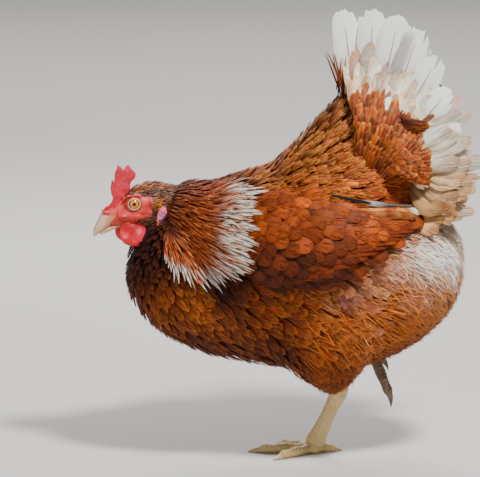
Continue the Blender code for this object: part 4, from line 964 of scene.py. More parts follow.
def feather_material(name, streak=0.40, roughness=0.68, relief=0.35, sheen=0.0):
    material, tree, shader = new_material(name)
    tint = node_of(tree, "Attribute", {}, attribute_name="tint")["Color"]
    barbs = node_of(tree, "Attribute", {}, attribute_name="barbs")["Vector"]
    split = node_of(tree, "SeparateXYZ", {0: barbs})
    aside = node_of(tree, "Math", {0: split["X"]}, operation="ABSOLUTE")[0]
    slant = node_of(tree, "Math", {0: split["Y"], 1: aside}, operation="SUBTRACT")[0]
    stretched = node_of(tree, "Math", {0: split["X"], 1: 0.12}, operation="MULTIPLY")[0]
    place = node_of(tree, "CombineXYZ", {0: slant, 1: stretched, 2: split["Z"]})[0]
    streaks = node_of(tree, "TexNoise", {"Vector": place, "Scale": 1.5, "Detail": 3})[0]
    band = node_of(tree, "MapRange", {
        "Value": streaks, "From Min": 0.3, "From Max": 0.7, "To Min": 1 - streak, "To Max": 1 + streak * 0.7})[0]
    shade = node_of(tree, "VectorMath", {0: tint, "Scale": band}, operation="SCALE")[0]
    bump = node_of(tree, "Bump", {"Height": streaks, "Strength": relief, "Distance": 0.0004})[0]
    feed(tree, shader, {
        "Base Color": shade, "Normal": bump, "Roughness": roughness, "Specular IOR Level": 0.22,
        "Sheen Weight": sheen, "Sheen Roughness": 0.4})
    return material


contour_vanes = feather_material("contour_vanes", streak=0.46)
satin_vanes = feather_material("satin_vanes", streak=0.44, roughness=0.60, relief=0.34)
white_vanes = feather_material("white_vanes", streak=0.12, relief=0.30)
soft_down = feather_material("soft_down", streak=0.22, roughness=0.8, relief=0.2, sheen=0.1)
print("finishes of feathers:", [made.name for made in (contour_vanes, satin_vanes, white_vanes, soft_down)])


# %% [markdown]
# ## Where feathers root
#
# Real feathers keep their distance from each other. Random points would clump, so each new point is
# kept only if no earlier one stands closer than the spacing of the chart there.

# %% Evenly scattered roots
NEIGHBOURS = [(i, j, k) for i in (-1, 0, 1) for j in (-1, 0, 1) for k in (-1, 0, 1)]


def scattered(ground, tries, spacing_of, allowed):
    """Points on a ground at least their own spacing apart: places, triangles and normals."""
    a, b, c = (ground.points[ground.faces[:, k]] for k in range(3))
    area = np.linalg.norm(np.cross(b - a, c - a), axis=1)
    faces = rng.choice(len(area), tries, p=area / area.sum())
    u, v = rng.random((2, tries))
    over = u + v > 1
    u[over], v[over] = 1 - u[over], 1 - v[over]
    points = a[faces] + (b[faces] - a[faces]) * u[:, None] + (c[faces] - a[faces]) * v[:, None]
    good = allowed(points, ground.normals[ground.faces[faces]].mean(1))
    points, faces = points[good], faces[good]
    spacing = spacing_of(points)
    cell = spacing.max()
    kept, taken = [], {}
    for n, (point, space) in enumerate(zip(points, spacing)):
        home = tuple((point // cell).astype(int))
        if not any(
            ((points[other] - point) ** 2).sum() < space * space
            for i, j, k in NEIGHBOURS for other in taken.get((home[0] + i, home[1] + j, home[2] + k), ())
        ):
            kept.append(n)
            taken.setdefault(home, []).append(n)
    kept = np.array(kept)
    return points[kept], faces[kept], unit(ground.normals[ground.faces[faces[kept]]].mean(1))


def laid_lines(ground, points, normals, lies, lengths, steps, sunk, raised):
    """Middle lines that start under the ground at their roots and follow it along the lie of the coat."""
    count = len(points)
    lines, outs = np.empty((count, steps, 3)), np.empty((count, steps, 3))
    for n in range(count):
        place, out = points[n], normals[n]
        way = lies[n] - out * (lies[n] @ out)
        way /= np.linalg.norm(way)
        for k in range(steps):
            if k:
                place, out, _ = ground.nearest(place + way * lengths[n] / (steps - 1))
                way = way - out * (way @ out)
                way /= np.linalg.norm(way)
            share = k / (steps - 1)
            lines[n, k] = place + out * (raised[n] * share**2 - sunk[n] * (1 - share) ** 1.5)
            outs[n, k] = out
    return lines, outs


def contour_colour(middles, rims, pale_shaft=0.0, dark_seam=0.20, spread=0.20, rim_from=0.70, root=0.30):
    """Middle colour, a rim of its own with a thin dark line inside it, partly its own and partly painted shade where
    feathers overlap, and painted shade at the root.
    """
    count = len(middles)
    light = np.exp(spread * rng.standard_normal(count))
    warm = 1 + 0.06 * rng.standard_normal((count, 3)) * np.array([0.4, 0.8, 1.2])

    def colour(along_it, across_it, number):
        edge = np.maximum(np.abs(across_it), smooth_step(0.55, 1.0, along_it))
        rim = 0.7 * smooth_step(rim_from, 1.0, edge)
        # The seam is partly the feather's own dark line and partly painted shade where the next feather overlaps.
        seam = smooth_step(0.45, 0.66, edge) * (1 - smooth_step(0.70, 0.86, edge))
        shaft = smooth_step(0.30, 0.05, np.abs(across_it)) * smooth_step(0.25, 0.6, along_it) * pale_shaft
        shade = (root + (1 - root) * smooth_step(0.10, 0.70, along_it)) * (1 - dark_seam * seam)
        base = fade(middles[number], rims[number], rim[..., None])
        base = fade(base, rims[number] * 0.6 + 0.4 * paint(240, 214, 176), shaft[..., None])
        return np.clip(base * (warm * light[:, None])[number] * shade[..., None], 0, 0.92)

    return colour


# %% [markdown]
# Two things keep a coat from looking like roof tiles. The tone drifts from one patch of the body to the
# next, and loose barbs stick out of the rim of every feather and cross the one behind it.

# %% Loose barbs
def loose_barbs(lines, outs, widths, each, longest):
    """Strands that leave the rim of each feather: lines, outs and the number of the feather."""
    owner = np.repeat(np.arange(len(lines)), each)
    total, steps = len(owner), lines.shape[1]
    aside = rng.uniform(-0.95, 0.95, total)
    first = rng.uniform(0.50, 0.85, total)
    last = 1.0 - 0.22 * aside**2 + rng.uniform(-0.04, longest, total)
    u = np.linspace(0, 1, 4)
    s = first[:, None] + np.maximum(last - first, 0.12)[:, None] * u
    where = np.clip(s * (steps - 1), 0, steps - 1.001)
    low = where.astype(int)
    beyond = (s * (steps - 1) - low)[..., None]
    start, end = lines[owner[:, None], low], lines[owner[:, None], low + 1]
    way = unit(end - start)
    out = outs[owner[:, None], low]
    across = unit(np.cross(way, out))
    spread = (widths[owner] / 2 * aside)[:, None] * (0.85 + 0.40 * u)
    lift = 0.0003 + rng.uniform(0, 0.0009, total)[:, None] * u**2
    return start + (end - start) * beyond + across * spread[..., None] + out * lift[..., None], out, owner


def barb_piece(name, slot_name, lines, outs, widths, patches, tints, each, longest, wide, root=0.30):
    """One piece of loose barbs for some feathers, in one tint for each of them."""
    strands, strand_outs, owner = loose_barbs(lines, outs, widths, each, longest)
    feather_object(
        name, "strand", strands, strand_outs, np.full(len(owner), wide), patches[owner],
        contour_colour(tints[owner], tints[owner], 0.0, 0.0, root=root), soft_down, slot_name, camber=0.2,
        splits=0.0, thick=0.0002,
    )


# %% [markdown]
# ## The coat of the body
#
# Roots are scattered over the whole form, except where the wing covers it. The saddle in front of the
# tail carries narrow pointed feathers, and the rest rounded ones.

# %% Where the coat leaves room for head, wing and hackle
HEAD_LINE = (-0.152, 0.224)
# The hackle reaches less far down the cape over the back, and less far again at its lower edges
HACKLE_SPAN = (math.radians(-18), math.radians(198))
HACKLE_TOP_CUT, HACKLE_TOP_SPREAD = 0.42, math.radians(19)
HACKLE_LOW_CUT, HACKLE_LOW_FROM, HACKLE_LOW_SPREAD = 0.34, math.radians(98), math.radians(34)


def near_top(turn, spread):
    """1 at the top of the neck, and less the further a spoke turns from it."""
    return np.exp(-(((turn - math.pi / 2) / spread) ** 2))


def hackle_end(turn):
    """The share of the cape that the hackle reaches at this turn."""
    low = np.maximum(np.abs(turn - math.pi / 2) - HACKLE_LOW_FROM, 0) / HACKLE_LOW_SPREAD
    return 1 - HACKLE_TOP_CUT * near_top(turn, HACKLE_TOP_SPREAD) - HACKLE_LOW_CUT * low


def outside_wing(points, normals):
    """Whether feathers may root here: not under wing or hackle, on the head, or behind wattle and lobe."""
    x, z = points[:, 0], points[:, 2]
    top, low = wing_edges(x)
    covered = (z < top - 0.010) & (z > low + 0.012) & (np.abs(x) < 0.080) & (np.abs(normals[:, 1]) > 0.4)
    head = (x < HEAD_LINE[0]) & (z > HEAD_LINE[1])
    by_wattle = (x < -0.1615) & (z > 0.212)
    by_lobe = (x < -0.149) & (z > 0.217) & (np.abs(points[:, 1]) > 0.013)
    return ~covered & ~head & ~by_wattle & ~by_lobe & ~under_cape(points)


def under_cape(points):
    """Whether points lie well inside the part of the neck that the hackle covers."""
    rows = along(CAPE, 61)
    up = unit(xyz(rows[:, 4], 0, 1))
    ahead = xyz(up[:, 2], 0, -up[:, 0])
    apart = points[:, None] - xyz(rows[:, 0], 0, rows[:, 1])
    along_it = (apart * ahead).sum(-1)
    row = np.abs(along_it).argmin(1)
    here = apart[np.arange(len(points)), row]
    turn = np.arctan2((here * up[row]).sum(1), here[:, 1])
    turn = np.where(turn < -math.pi / 2, turn + 2 * math.pi, turn)
    inside = (turn > math.radians(-12)) & (turn < math.radians(192))
    return inside & (along_it[:, 0] > 0.004) & (row > 5) & (row < 46 * hackle_end(turn))


# %% Feathers of breast, belly, back, rump and thighs
BARBS_EACH = 5
# What is taken from red, green and blue towards the belly: painted shade that darkens it, and a hue less yellow than
# above
BELLY_SHADE = (0.26, 0.24, -0.25)
roots, root_faces, root_normals = scattered(body_ground, 90000, lambda p: traits_at(p)[:, 5], outside_wing)
traits = traits_at(roots)
count = len(roots)
drift = mottle(roots, 0.022)
# Painted shade: tone is the coat's own drift in patches, times the painted shade towards the belly.
low = smooth_step(0.235, 0.165, roots[:, 2])[:, None]
tone = np.exp(0.20 * drift)[:, None] * (1 - low * np.array(BELLY_SHADE))
lies = unit(traits[:, :3] + 0.13 * rng.standard_normal((count, 3)) + 0.16 * xyz(0, 0, drift))
lengths = traits[:, 3] * np.exp(0.12 * rng.standard_normal(count))
raised = 0.0004 + 0.0011 * rng.random(count) + 0.0012 * np.maximum(mottle(roots, 0.012), 0)
lines, outs = laid_lines(body_ground, roots, root_normals, lies, lengths, 6, traits[:, 6], raised)
patches = body_ground.patch(roots, root_faces)
# Rims draw the same numbers as middles, so that a feather is as pale at its rim as in its middle
before_middles = rng.bit_generator.state
middles = paled(roots, traits[:, 7:10]) * tone
rng.bit_generator.state = before_middles
rims = paled(roots, traits[:, 10:13]) * tone
saddle_share = smooth_step(-0.004, 0.010, roots[:, 2] - 0.250 - 0.45 * np.maximum(roots[:, 0] - 0.035, 0))
is_saddle = (saddle_share > rng.random(count)) & (roots[:, 0] > -0.105)
is_front = roots[:, 0] < -0.085
is_left = roots[:, 1] < 0
groups = {
    "breast_feathers": is_front & ~is_saddle,
    "left_side_feathers": ~is_front & is_left & ~is_saddle,
    "right_side_feathers": ~is_front & ~is_left & ~is_saddle,
    "saddle_feathers": is_saddle,
}
for name, chosen in groups.items():
    saddle = name == "saddle_feathers"
    feather_object(
        name, "saddle" if saddle else "contour", lines[chosen], outs[chosen], traits[chosen, 4], patches[chosen],
        contour_colour(middles[chosen], rims[chosen], 0.30, 0.20, 0.34) if saddle
        else contour_colour(middles[chosen], rims[chosen], 0.0, 0.24, 0.24),
        contour_vanes, "rufous_feathers", splits=0.4 if saddle else 0.35,
    )
for name, chosen in (("loose_barbs_left", is_left), ("loose_barbs_right", ~is_left)):
    barb_piece(name, "rufous_feathers", lines[chosen], outs[chosen], traits[chosen, 4], patches[chosen], rims[chosen],
               BARBS_EACH, 0.12, 0.0009)


# %% [markdown]
# ## The folded wings
#
# A folded wing is layered like a roof: the flight feathers lie lowest and reach furthest back, and rows of
# round coverts lie over them. Both are laid out in the wing's own plane, as seen from the side, and then
# lifted onto its swelling surface.

# %% Flight feathers
# x and z of the first to the last feather's root and tip
QUILL_ROOTS = (
    (-0.004, 0.245), (-0.020, 0.236), (-0.034, 0.226), (-0.046, 0.214), (-0.056, 0.203), (-0.066, 0.195),
)
QUILL_TIPS = ((0.101, 0.233), (0.095, 0.229), (0.082, 0.222), (0.060, 0.212), (0.028, 0.197), (-0.008, 0.187))
FLIGHTS, FLIGHT_WIDTH = 17, 0.0145


def wing_lines(side, starts, ends, steps, lifts, tip_lifts, drop=0.0):
    """Middle lines over the wing from points of its plane to others, rising from lift to tip lift."""
    count = len(starts)
    lines, outs, faces = np.empty((count, steps, 3)), np.empty((count, steps, 3)), np.empty(count, int)
    for n in range(count):
        for k in range(steps):
            s = k / (steps - 1)
            x, z = starts[n] + (ends[n] - starts[n]) * s
            z -= drop * math.sin(math.pi * s) ** 2
            lift = lifts[n] + (tip_lifts[n] - lifts[n]) * min(1, 1.3 * s)
            lines[n, k], outs[n, k], face = on_wing(side, x, z, lift)
            if k == 0:
                faces[n] = face
    return lines, outs, body_ground.patch(lines[:, 0], faces)


def flight_colour(count):
    """Dark brown towards the body and warmer on the outer half, with painted shade towards the root."""
    dark, light = paint(86, 38, 15), paint(158, 74, 30)
    own = np.exp(0.08 * rng.standard_normal(count))

    def colour(along_it, across_it, number):
        outer = smooth_step(-0.2, 0.9, -across_it)
        base = dark + (light - dark) * (0.25 + 0.75 * outer)[..., None]
        # Painted shade darkens the root, under the coverts.
        return base * (own[number] * (0.75 + 0.25 * smooth_step(0.1, 0.6, along_it)))[..., None]

    return colour


for side, word in SIDES:
    starts, ends = along(QUILL_ROOTS, FLIGHTS), along(QUILL_TIPS, FLIGHTS)
    lifts, tip_lifts = np.full(FLIGHTS, -0.0016), np.full(FLIGHTS, 0.0012)
    lines, outs, patches = wing_lines(side, starts, ends, 12, lifts, tip_lifts, 0.002)
    feather_object(
        "flight_feathers_" + word, "quill", lines, outs, np.full(FLIGHTS, FLIGHT_WIDTH), patches,
        flight_colour(FLIGHTS), contour_vanes, "rufous_feathers", camber=0.10, splits=0.5, roll=0.02,
        tilt=0.08 * -side, thick=0.0006,
    )


# %% [markdown]
# The coverts stand in slanting rows. They are spaced on a grid in the wing's plane with every second row
# shifted by half, then shaken a little, which gives the scalloped look of the photograph.

# %% Coverts of the wing
COVERT_STEP = 0.0108


def covert_places():
    """Where the coverts root in the wing's plane, and which way they point."""
    starts, ways = [], []
    for row, x in enumerate(np.arange(-0.092, 0.070, COVERT_STEP * 0.86)):
        for z in np.arange(0.170, 0.262, COVERT_STEP):
            x_here = x + rng.normal(0, 0.0011)
            z_here = z + COVERT_STEP / 2 * (row % 2) + rng.normal(0, 0.0011)
            top, low = wing_edges(x_here + 0.012)
            if not low + 0.006 < z_here < top + 0.002:
                continue
            down = np.clip((top - z_here) / (top - low), 0, 1)
            starts.append((x_here, z_here))
            ways.append((1.0, -0.06 - 0.36 * down))
    return np.array(starts), unit(ways)


for side, word in SIDES:
    starts, ways = covert_places()
    count = len(starts)
    back = smooth_step(-0.06, 0.06, starts[:, 0])
    down = smooth_step(0.238, 0.190, starts[:, 1])
    high = smooth_step(0.232, 0.250, starts[:, 1])
    lengths = 0.0225 + 0.007 * back + rng.normal(0, 0.0018, count)
    widths = 0.0170 - 0.0040 * back - 0.0036 * high - 0.0018 * down + rng.normal(0, 0.0012, count)
    ends = starts + unit(ways + rng.normal(0, 0.11, ways.shape)) * lengths[:, None]
    base = 0.0030 - 0.0012 * back
    lines, outs, patches = wing_lines(side, starts, ends, 6, base - 0.0034, base + 0.0010 * rng.random(count))
    drift = np.exp(0.16 * mottle(xyz(starts[:, 0], 0, starts[:, 1]), 0.02))
    # Painted shade darkens the coverts towards the wing's lower edge and its rear; drift is the coat's own tone.
    covert_shade_and_tone = (1 - 0.70 * down) * (0.82 + 0.18 * back) * (1 - 0.25 * smooth_step(0.03, 0.08, starts[:, 0])) * drift
    # Their darker rims are partly the coverts' own edges and partly painted shade where they overlap.
    middles, rims = paint(156, 76, 33) * covert_shade_and_tone[:, None], paint(92, 38, 14) * covert_shade_and_tone[:, None]
    feather_object(
        "wing_coverts_" + word, "covert", lines, outs, widths, patches,
        contour_colour(middles, rims, 0.0, 0.04, 0.26, 0.74), satin_vanes, "rufous_feathers", camber=0.09, roll=0.06,
        ragged=0.06, splits=0.04,
    )
    barb_piece("covert_barbs_" + word, "rufous_feathers", lines, outs, widths, patches, middles * 1.1, 4, 0.05, 0.0008)


# %% [markdown]
# Along the wing's upper edge the last feathers show from the side: a barred one in orange and tan that
# ends white, and behind it, in the slit under the rump, a grey one.

# %% Edge feathers of the wing
EDGE_BARS = 9


def barred(along_it, across_it, number):
    """Bars of orange and tan. The first feather ends white, and the one under it is darker, partly its own darker
    brown and partly painted shade under the first.
    """
    bar = 0.5 + 0.5 * np.sin(2 * math.pi * EDGE_BARS * along_it)
    warm = fade(paint(158, 70, 26), paint(226, 150, 92), bar[..., None])
    end = (smooth_step(0.76, 0.88, along_it) * (number == 0))[..., None]
    # The second feather's darkening is partly painted shade under the first.
    return fade(warm, paint(246, 240, 232), end) * (1 - 0.55 * (number == 1)[..., None])


def slit_colours(along_it, across_it, number):
    """A grey feather streaked with black and white, and in front of it a near-black feather that is painted shade in
    the slit.
    """
    streak = 0.5 + 0.5 * np.sin(along_it * 60 + across_it * 5)
    grey = fade(paint(44, 32, 26), paint(116, 100, 88), streak[..., None])
    white = (smooth_step(0.30, 0.16, along_it) * smooth_step(0.04, 0.12, along_it))[..., None]
    grey = fade(grey, paint(240, 236, 232), white)
    grey = fade(grey, paint(84, 72, 66), smooth_step(0.75, 0.95, along_it)[..., None])
    first = (number == 0)[..., None]
    # The second feather is near black: painted shade in the slit.
    return grey * first + paint(26, 13, 8) * ~first


# Roots and tips of the barred pair, and of the grey feather with a near-black one in front of it, painted shade in the
# slit
EDGE_PAIR = np.array((((0.022, 0.2465), (0.030, 0.2440)), ((0.1000, 0.2352), (0.0900, 0.2310))))
SLIT_PAIR = np.array((((0.034, 0.2530), (0.014, 0.2575)), ((0.0990, 0.2425), (0.0500, 0.2505))))
for side, word in SIDES:
    lines, outs, patches = wing_lines(side, *EDGE_PAIR, 10, (0.0040, 0.0040), (0.0060, 0.0060))
    feather_object(
        "edge_feathers_" + word, "quill", lines, outs, np.array((0.0095, 0.0090)), patches, barred, satin_vanes,
        "rufous_feathers", camber=0.6, roll=0.0, thick=0.0006,
    )
    lines, outs, patches = wing_lines(side, *SLIT_PAIR, 10, (0.0030, 0.0045), (0.0030, 0.0040))
    feather_object(
        "slit_feather_" + word, "pointed", lines, outs, np.array((0.0060, 0.0034)), patches, slit_colours, white_vanes,
        "white_feathers", camber=0.2, roll=0.0, thick=0.0006,
    )


# %% [markdown]
# ## The hackle
#
# The cape of narrow feathers fans out from the nape over the shoulders. Its surface is found by rays: for
# every direction round the neck, the cape keeps just clear of what it covers, and a smoothed table of
# those distances makes one even surface, however rough the feathers below are.

# %% Surface of the cape
CAPE_ROWS = along(CAPE, 61)
# Most that the hackle is lifted to clear what it covers, and how much less at the top
HACKLE_MOST_LIFT = 0.014
HACKLE_FLAT_TOP = 0.011
HACKLE_FLAT_SPREAD = math.radians(28)


def cape_spoke(share, turn):
    """The middle of one ring of the cape and the way out from it: share runs from nape to tips."""
    step = share * 60
    i = int(min(max(step, 0), 59))
    x, z, half_width, half_height, lean = CAPE_ROWS[i] + (CAPE_ROWS[i + 1] - CAPE_ROWS[i]) * (step - i)
    up = unit((lean, 0, 1))
    return np.array((x, 0, z)), SIDE * (half_width * math.cos(turn)) + up * (half_height * math.sin(turn))


def cape_table():
    """How far the hackle is lifted, by share and turn: clear of what it covers, and smooth all over."""
    shares, turns = np.linspace(-0.1, 1.1, 13), np.linspace(HACKLE_SPAN[0] - 0.3, HACKLE_SPAN[1] + 0.3, 27)
    lifts = np.zeros((len(shares), len(turns)))
    for i, share in enumerate(shares):
        for j, turn in enumerate(turns):
            centre, spoke = cape_spoke(share, turn)
            way = unit(spoke)
            hit = form_tree.ray_cast(Vector(centre + way * 0.3), Vector(-way))[0]
            if hit is None:
                continue
            thick, inside = wing_thickness(hit[0], hit[2])
            lift = np.linalg.norm(np.array(hit) - centre) - np.linalg.norm(spoke)
            lift += 0.0022 + 0.0028 * np.clip(share, 0, 1) + (thick + 0.003) * (inside and abs(hit[1]) > 0.03)
            most = HACKLE_MOST_LIFT - HACKLE_FLAT_TOP * near_top(turn, HACKLE_FLAT_SPREAD)
            lifts[i, j] = min(max(lift, 0), most)
    for blend in (np.max, np.mean, np.mean):
        padded = np.pad(lifts, 1, mode="edge")
        near = [padded[i : i + len(shares), j : j + len(turns)] for i in range(3) for j in range(3)]
        lifts = blend(near, axis=0)
    return shares, turns, 0.0006 + lifts * smooth_step(-0.02, 0.28, shares)[:, None]


SHARES, TURNS, LIFTS = cape_table()
print("hackle lifted by at most, in mm:", round(1000 * LIFTS.max(), 1))


def cape_point(share, turn, lift):
    """A point over the cape and the way out from it."""
    row = np.clip(np.interp(share, SHARES, np.arange(len(SHARES))), 0, len(SHARES) - 1.001)
    column = np.clip(np.interp(turn, TURNS, np.arange(len(TURNS))), 0, len(TURNS) - 1.001)
    i, j = int(row), int(column)
    f, g = row - i, column - j
    lift += (1 - f) * ((1 - g) * LIFTS[i, j] + g * LIFTS[i, j + 1])
    lift += f * ((1 - g) * LIFTS[i + 1, j] + g * LIFTS[i + 1, j + 1])
    centre, spoke = cape_spoke(share, turn)
    return centre + spoke + unit(spoke) * lift, unit(spoke)


# %% Hackle feathers
HACKLE_TIERS = 13
HACKLE_LOOKS = {"camber": 0.30, "ragged": 0.22, "splits": 0.6, "roll": 0.12, "thick": 0.0005}


def hackle():
    """Middle lines of the hackle, with where each feather starts and ends along the cape."""
    lines, outs, widths, reach = [], [], [], []
    for tier in range(HACKLE_TIERS):
        share = tier / (HACKLE_TIERS - 1)
        start, end = 0.0 + 0.62 * share, 0.20 + 0.80 * share
        width = 0.0034 + 0.0028 * share
        _, spoke = cape_spoke(end, 0.8)
        arc = np.linalg.norm(spoke) * (HACKLE_SPAN[1] - HACKLE_SPAN[0])
        number = int(arc / (width * 0.72))
        for k in range(number):
            turn = HACKLE_SPAN[0] + (HACKLE_SPAN[1] - HACKLE_SPAN[0]) * (k + 0.5 * (tier % 2)) / number
            turn += rng.normal(0, 0.014)
            swing = rng.normal(0, 0.05)
            tip = end * (1 + rng.normal(0, 0.05)) - 0.05 * (tier == HACKLE_TIERS - 1) * rng.random()
            if end > hackle_end(turn) + 0.05:
                continue
            lift = 0.0036 * (1 - share) * smooth_step(0, 0.3, tip) + rng.normal(0, 0.0006) + 0.0008
            line, out = [], []
            for step in np.linspace(0, 1, 9):
                here = start + (tip - start) * step
                rise = lift * min(1, 2 * step) - 0.0042 * (1 - step) ** 2 + 0.0010 * step**2
                point, way = cape_point(here, turn + swing * step, rise)
                line.append(point)
                out.append(way)
            lines.append(line)
            outs.append(out)
            widths.append(width * math.exp(rng.normal(0, 0.10)))
            reach.append((start, tip))
    return np.array(lines), np.array(outs), np.array(widths), np.array(reach)


def hackle_colour(reach, tops):
    """Deep brown at the nape, then brown with tan shafts, and white at the tips away from the top."""
    count = len(reach)
    light = np.exp(0.22 * rng.standard_normal(count))
    shift = rng.normal(0.0, 0.095, count)
    whiteness = np.where(rng.random(count) < 0.22, 0.2, 1.0)
    glow = rng.random(count)
    brown, deep, dark = paint(166, 76, 28), paint(92, 38, 13), paint(48, 20, 8)
    tan, white = paint(214, 156, 104), paint(250, 240, 228)

    def colour(along_it, across_it, number):
        share = reach[number, 0] + (reach[number, 1] - reach[number, 0]) * along_it + shift[number]
        pale = smooth_step(0.62, 0.80, share) * (1 - 0.8 * tops[number]) * whiteness[number]
        edge = smooth_step(0.30, 0.90, np.abs(across_it + 0.1))
        shaft = smooth_step(0.35, 0.05, np.abs(across_it)) * smooth_step(0.25, 0.7, along_it) * glow[number]
        base = fade(brown, deep, smooth_step(0.42, 0.12, share)[..., None])
        base = fade(base, dark, edge[..., None])
        base = fade(base, tan, 0.6 * shaft[..., None])
        seam = smooth_step(0.22, 0.62, np.abs(across_it + 0.1))[..., None]
        light_tip = fade(white, paint(96, 46, 20), 0.92 * seam)
        # Painted shade darkens each hackle feather towards its root.
        root = 0.4 + 0.6 * smooth_step(0.05, 0.45, along_it)
        return np.clip(fade(base * (light[number] * root)[..., None], light_tip, pale[..., None]), 0, 0.93)

    return colour


lines, outs, widths, reach = hackle()
patches = body_ground.roots(lines)
on_top = smooth_step(0.72, 0.98, outs[:, 4, 2])
feather_object(
    "hackle_feathers", "lance", lines, outs, widths * 1.05, patches, hackle_colour(reach, on_top), contour_vanes,
    "hackle_feathers", **HACKLE_LOOKS,
)
pale = (smooth_step(0.60, 0.80, reach[:, 1]) * (1 - 0.8 * on_top))[:, None]
light = fade(paint(132, 62, 26), paint(236, 214, 190), pale)
barb_piece("hackle_barbs", "hackle_feathers", lines, outs, widths, patches, light, 2, 0.06, 0.0008)


# %% [markdown]
# Under the ear lobe the hackle turns down and spreads like a fan over the side of the breast. These
# feathers are laid out in the plane seen from the side, as spokes of a fan, and then put on the body.

# %% Lower fan of the hackle
FAN_ROOT = (-0.139, 0.226)
# degrees below the level, and how far the feathers reach there
FAN_REACH = ((16, 0.081), (28, 0.0765), (41, 0.075), (56, 0.0676), (65, 0.0516), (84, 0.0370))
FAN_TIERS = 10


def fan_hackle(side):
    """Middle lines of the lower hackle, and where each feather starts and ends on its spoke."""
    lines, outs, widths, shares = [], [], [], []
    for tier in range(FAN_TIERS):
        full = 0.36 + 0.64 * tier / (FAN_TIERS - 1)
        width = 0.0036 + 0.0024 * full
        step = math.degrees(width * 0.74 / (0.066 * full))
        for angle in np.arange(15 + 0.5 * step * (tier % 2), 86, step):
            angle += rng.normal(0, 1.6)
            spoke = looked_up(angle, FAN_REACH)
            reach = spoke * full * (1 + rng.normal(0, 0.045))
            start = max(reach - 0.024 - 0.014 * full, 0.003)
            bend = math.radians(rng.normal(2, 4))
            line, out = [], []
            for s in np.linspace(0, 1, 9):
                far, way = start + (reach - start) * s, math.radians(angle) + bend * s
                x, z = FAN_ROOT[0] + far * math.cos(way), FAN_ROOT[1] - far * math.sin(way)
                rise = 0.0034 * (1 - full) * min(1, 2 * s) + 0.0008 * s - 0.0034 * (1 - s) ** 2
                point, normal, _ = on_wing(side, x, z, rise)
                line.append(point)
                out.append(normal)
            lines.append(line)
            outs.append(out)
            widths.append(width * math.exp(rng.normal(0, 0.12)))
            shares.append((start / spoke, reach / spoke))
    lines, outs = np.array(lines), np.array(outs)
    for _ in range(3):
        lines[:, 1:-1, 1] = 0.25 * lines[:, :-2, 1] + 0.5 * lines[:, 1:-1, 1] + 0.25 * lines[:, 2:, 1]
        outs[:, 1:-1] = unit(outs[:, :-2] + 2 * outs[:, 1:-1] + outs[:, 2:])
    return lines, outs, np.array(widths), np.array(shares)


for side, word in SIDES:
    lines, outs, widths, reach = fan_hackle(side)
    feather_object(
        "hackle_fan_" + word, "lance", lines, outs, widths, body_ground.roots(lines),
        hackle_colour(reach, np.zeros(len(lines))), contour_vanes, "hackle_feathers", **HACKLE_LOOKS,
    )


# %% [markdown]
# ## The tail
#
# The tail is folded upright like a tent: one fan of broad white feathers on each side. Every big feather
# is laid from its root in the rump to its tip, bowed a little outwards, and gets a thin brown shaft.

# %% Tail feathers
# From the front: root x and z, tip x, y and z, width. The last two only carry the coverts
TAIL_QUILLS = (
    (0.043, 0.330, 0.026, 0.002, 0.428, 0.028), (0.053, 0.328, 0.054, 0.007, 0.429, 0.029),
    (0.060, 0.325, 0.078, 0.013, 0.424, 0.030), (0.068, 0.320, 0.098, 0.019, 0.413, 0.030),
    (0.075, 0.313, 0.115, 0.025, 0.386, 0.029), (0.081, 0.305, 0.126, 0.030, 0.356, 0.028),
    (0.086, 0.296, 0.135, 0.034, 0.325, 0.028), (0.088, 0.300, 0.144, 0.037, 0.299, 0.032),
    (0.089, 0.294, 0.148, 0.040, 0.268, 0.034), (0.086, 0.288, 0.138, 0.042, 0.243, 0.034),
)


def quill_ends(side, quill):
    """The root and the tip of one tail feather."""
    root_x, root_z, tip_x, tip_y, tip_z = quill[:5]
    root = np.array((root_x - 0.004, side * (0.003 + 0.35 * tip_y), root_z - 0.010))
    return root, np.array((tip_x, side * tip_y, tip_z))


def tail_lines(side, quills, steps):
    """Middle lines from root to tip, bowed outwards, with the front ones lying over the next."""
    lines, outs = [], []
    s = np.linspace(0, 1, steps)[:, None]
    for k, quill in enumerate(quills):
        root, tip = quill_ends(side, quill)
        ahead = unit(tip - root)
        out = np.array((0.10, side, 0.25))
        out = unit(out - ahead * (out @ ahead))
        bow = (0.002 + 0.25 * quill[3]) * np.sin(math.pi * s) - 0.0018 * min(k, 6) * (1 - s)
        lines.append(root + (tip - root) * s + out * bow)
        outs.append(np.tile(out, (steps, 1)))
    return np.array(lines), np.array(outs)


def tail_colour(count):
    """White with peach at the root and along some rims, one grey half painted as shade, and the lowest feather cream.
    """
    own = 1 + 0.04 * rng.standard_normal(count)
    warm = rng.random(count) * 0.8

    def colour(along_it, across_it, number):
        lobe = smooth_step(6.2, 7.5, number + 0 * along_it)[..., None]
        white = fade(paint(255, 246, 238), paint(228, 202, 174), lobe)
        peach = fade(paint(212, 144, 96), paint(176, 126, 90), lobe)
        share = smooth_step(0.66, 0.15, along_it) * (0.30 + 0.60 * warm[number])
        rim = smooth_step(0.62, 1.0, np.abs(across_it)) * smooth_step(0.85, 0.55, along_it)
        share = np.clip(share + 0.6 * warm[number] * rim, 0, 1)[..., None]
        mixed = fade(white, peach, share) * own[number][..., None]
        # Painted shade: half of the fourth feather turns grey.
        grey = smooth_step(0.0, 0.35, -across_it) * smooth_step(0.35, 0.50, along_it)
        grey = grey * smooth_step(0.97, 0.85, along_it)
        grey = (0.65 * grey * (number == 3))[..., None]
        return np.clip(fade(mixed, paint(128, 122, 120), grey), 0, 0.95)

    return colour


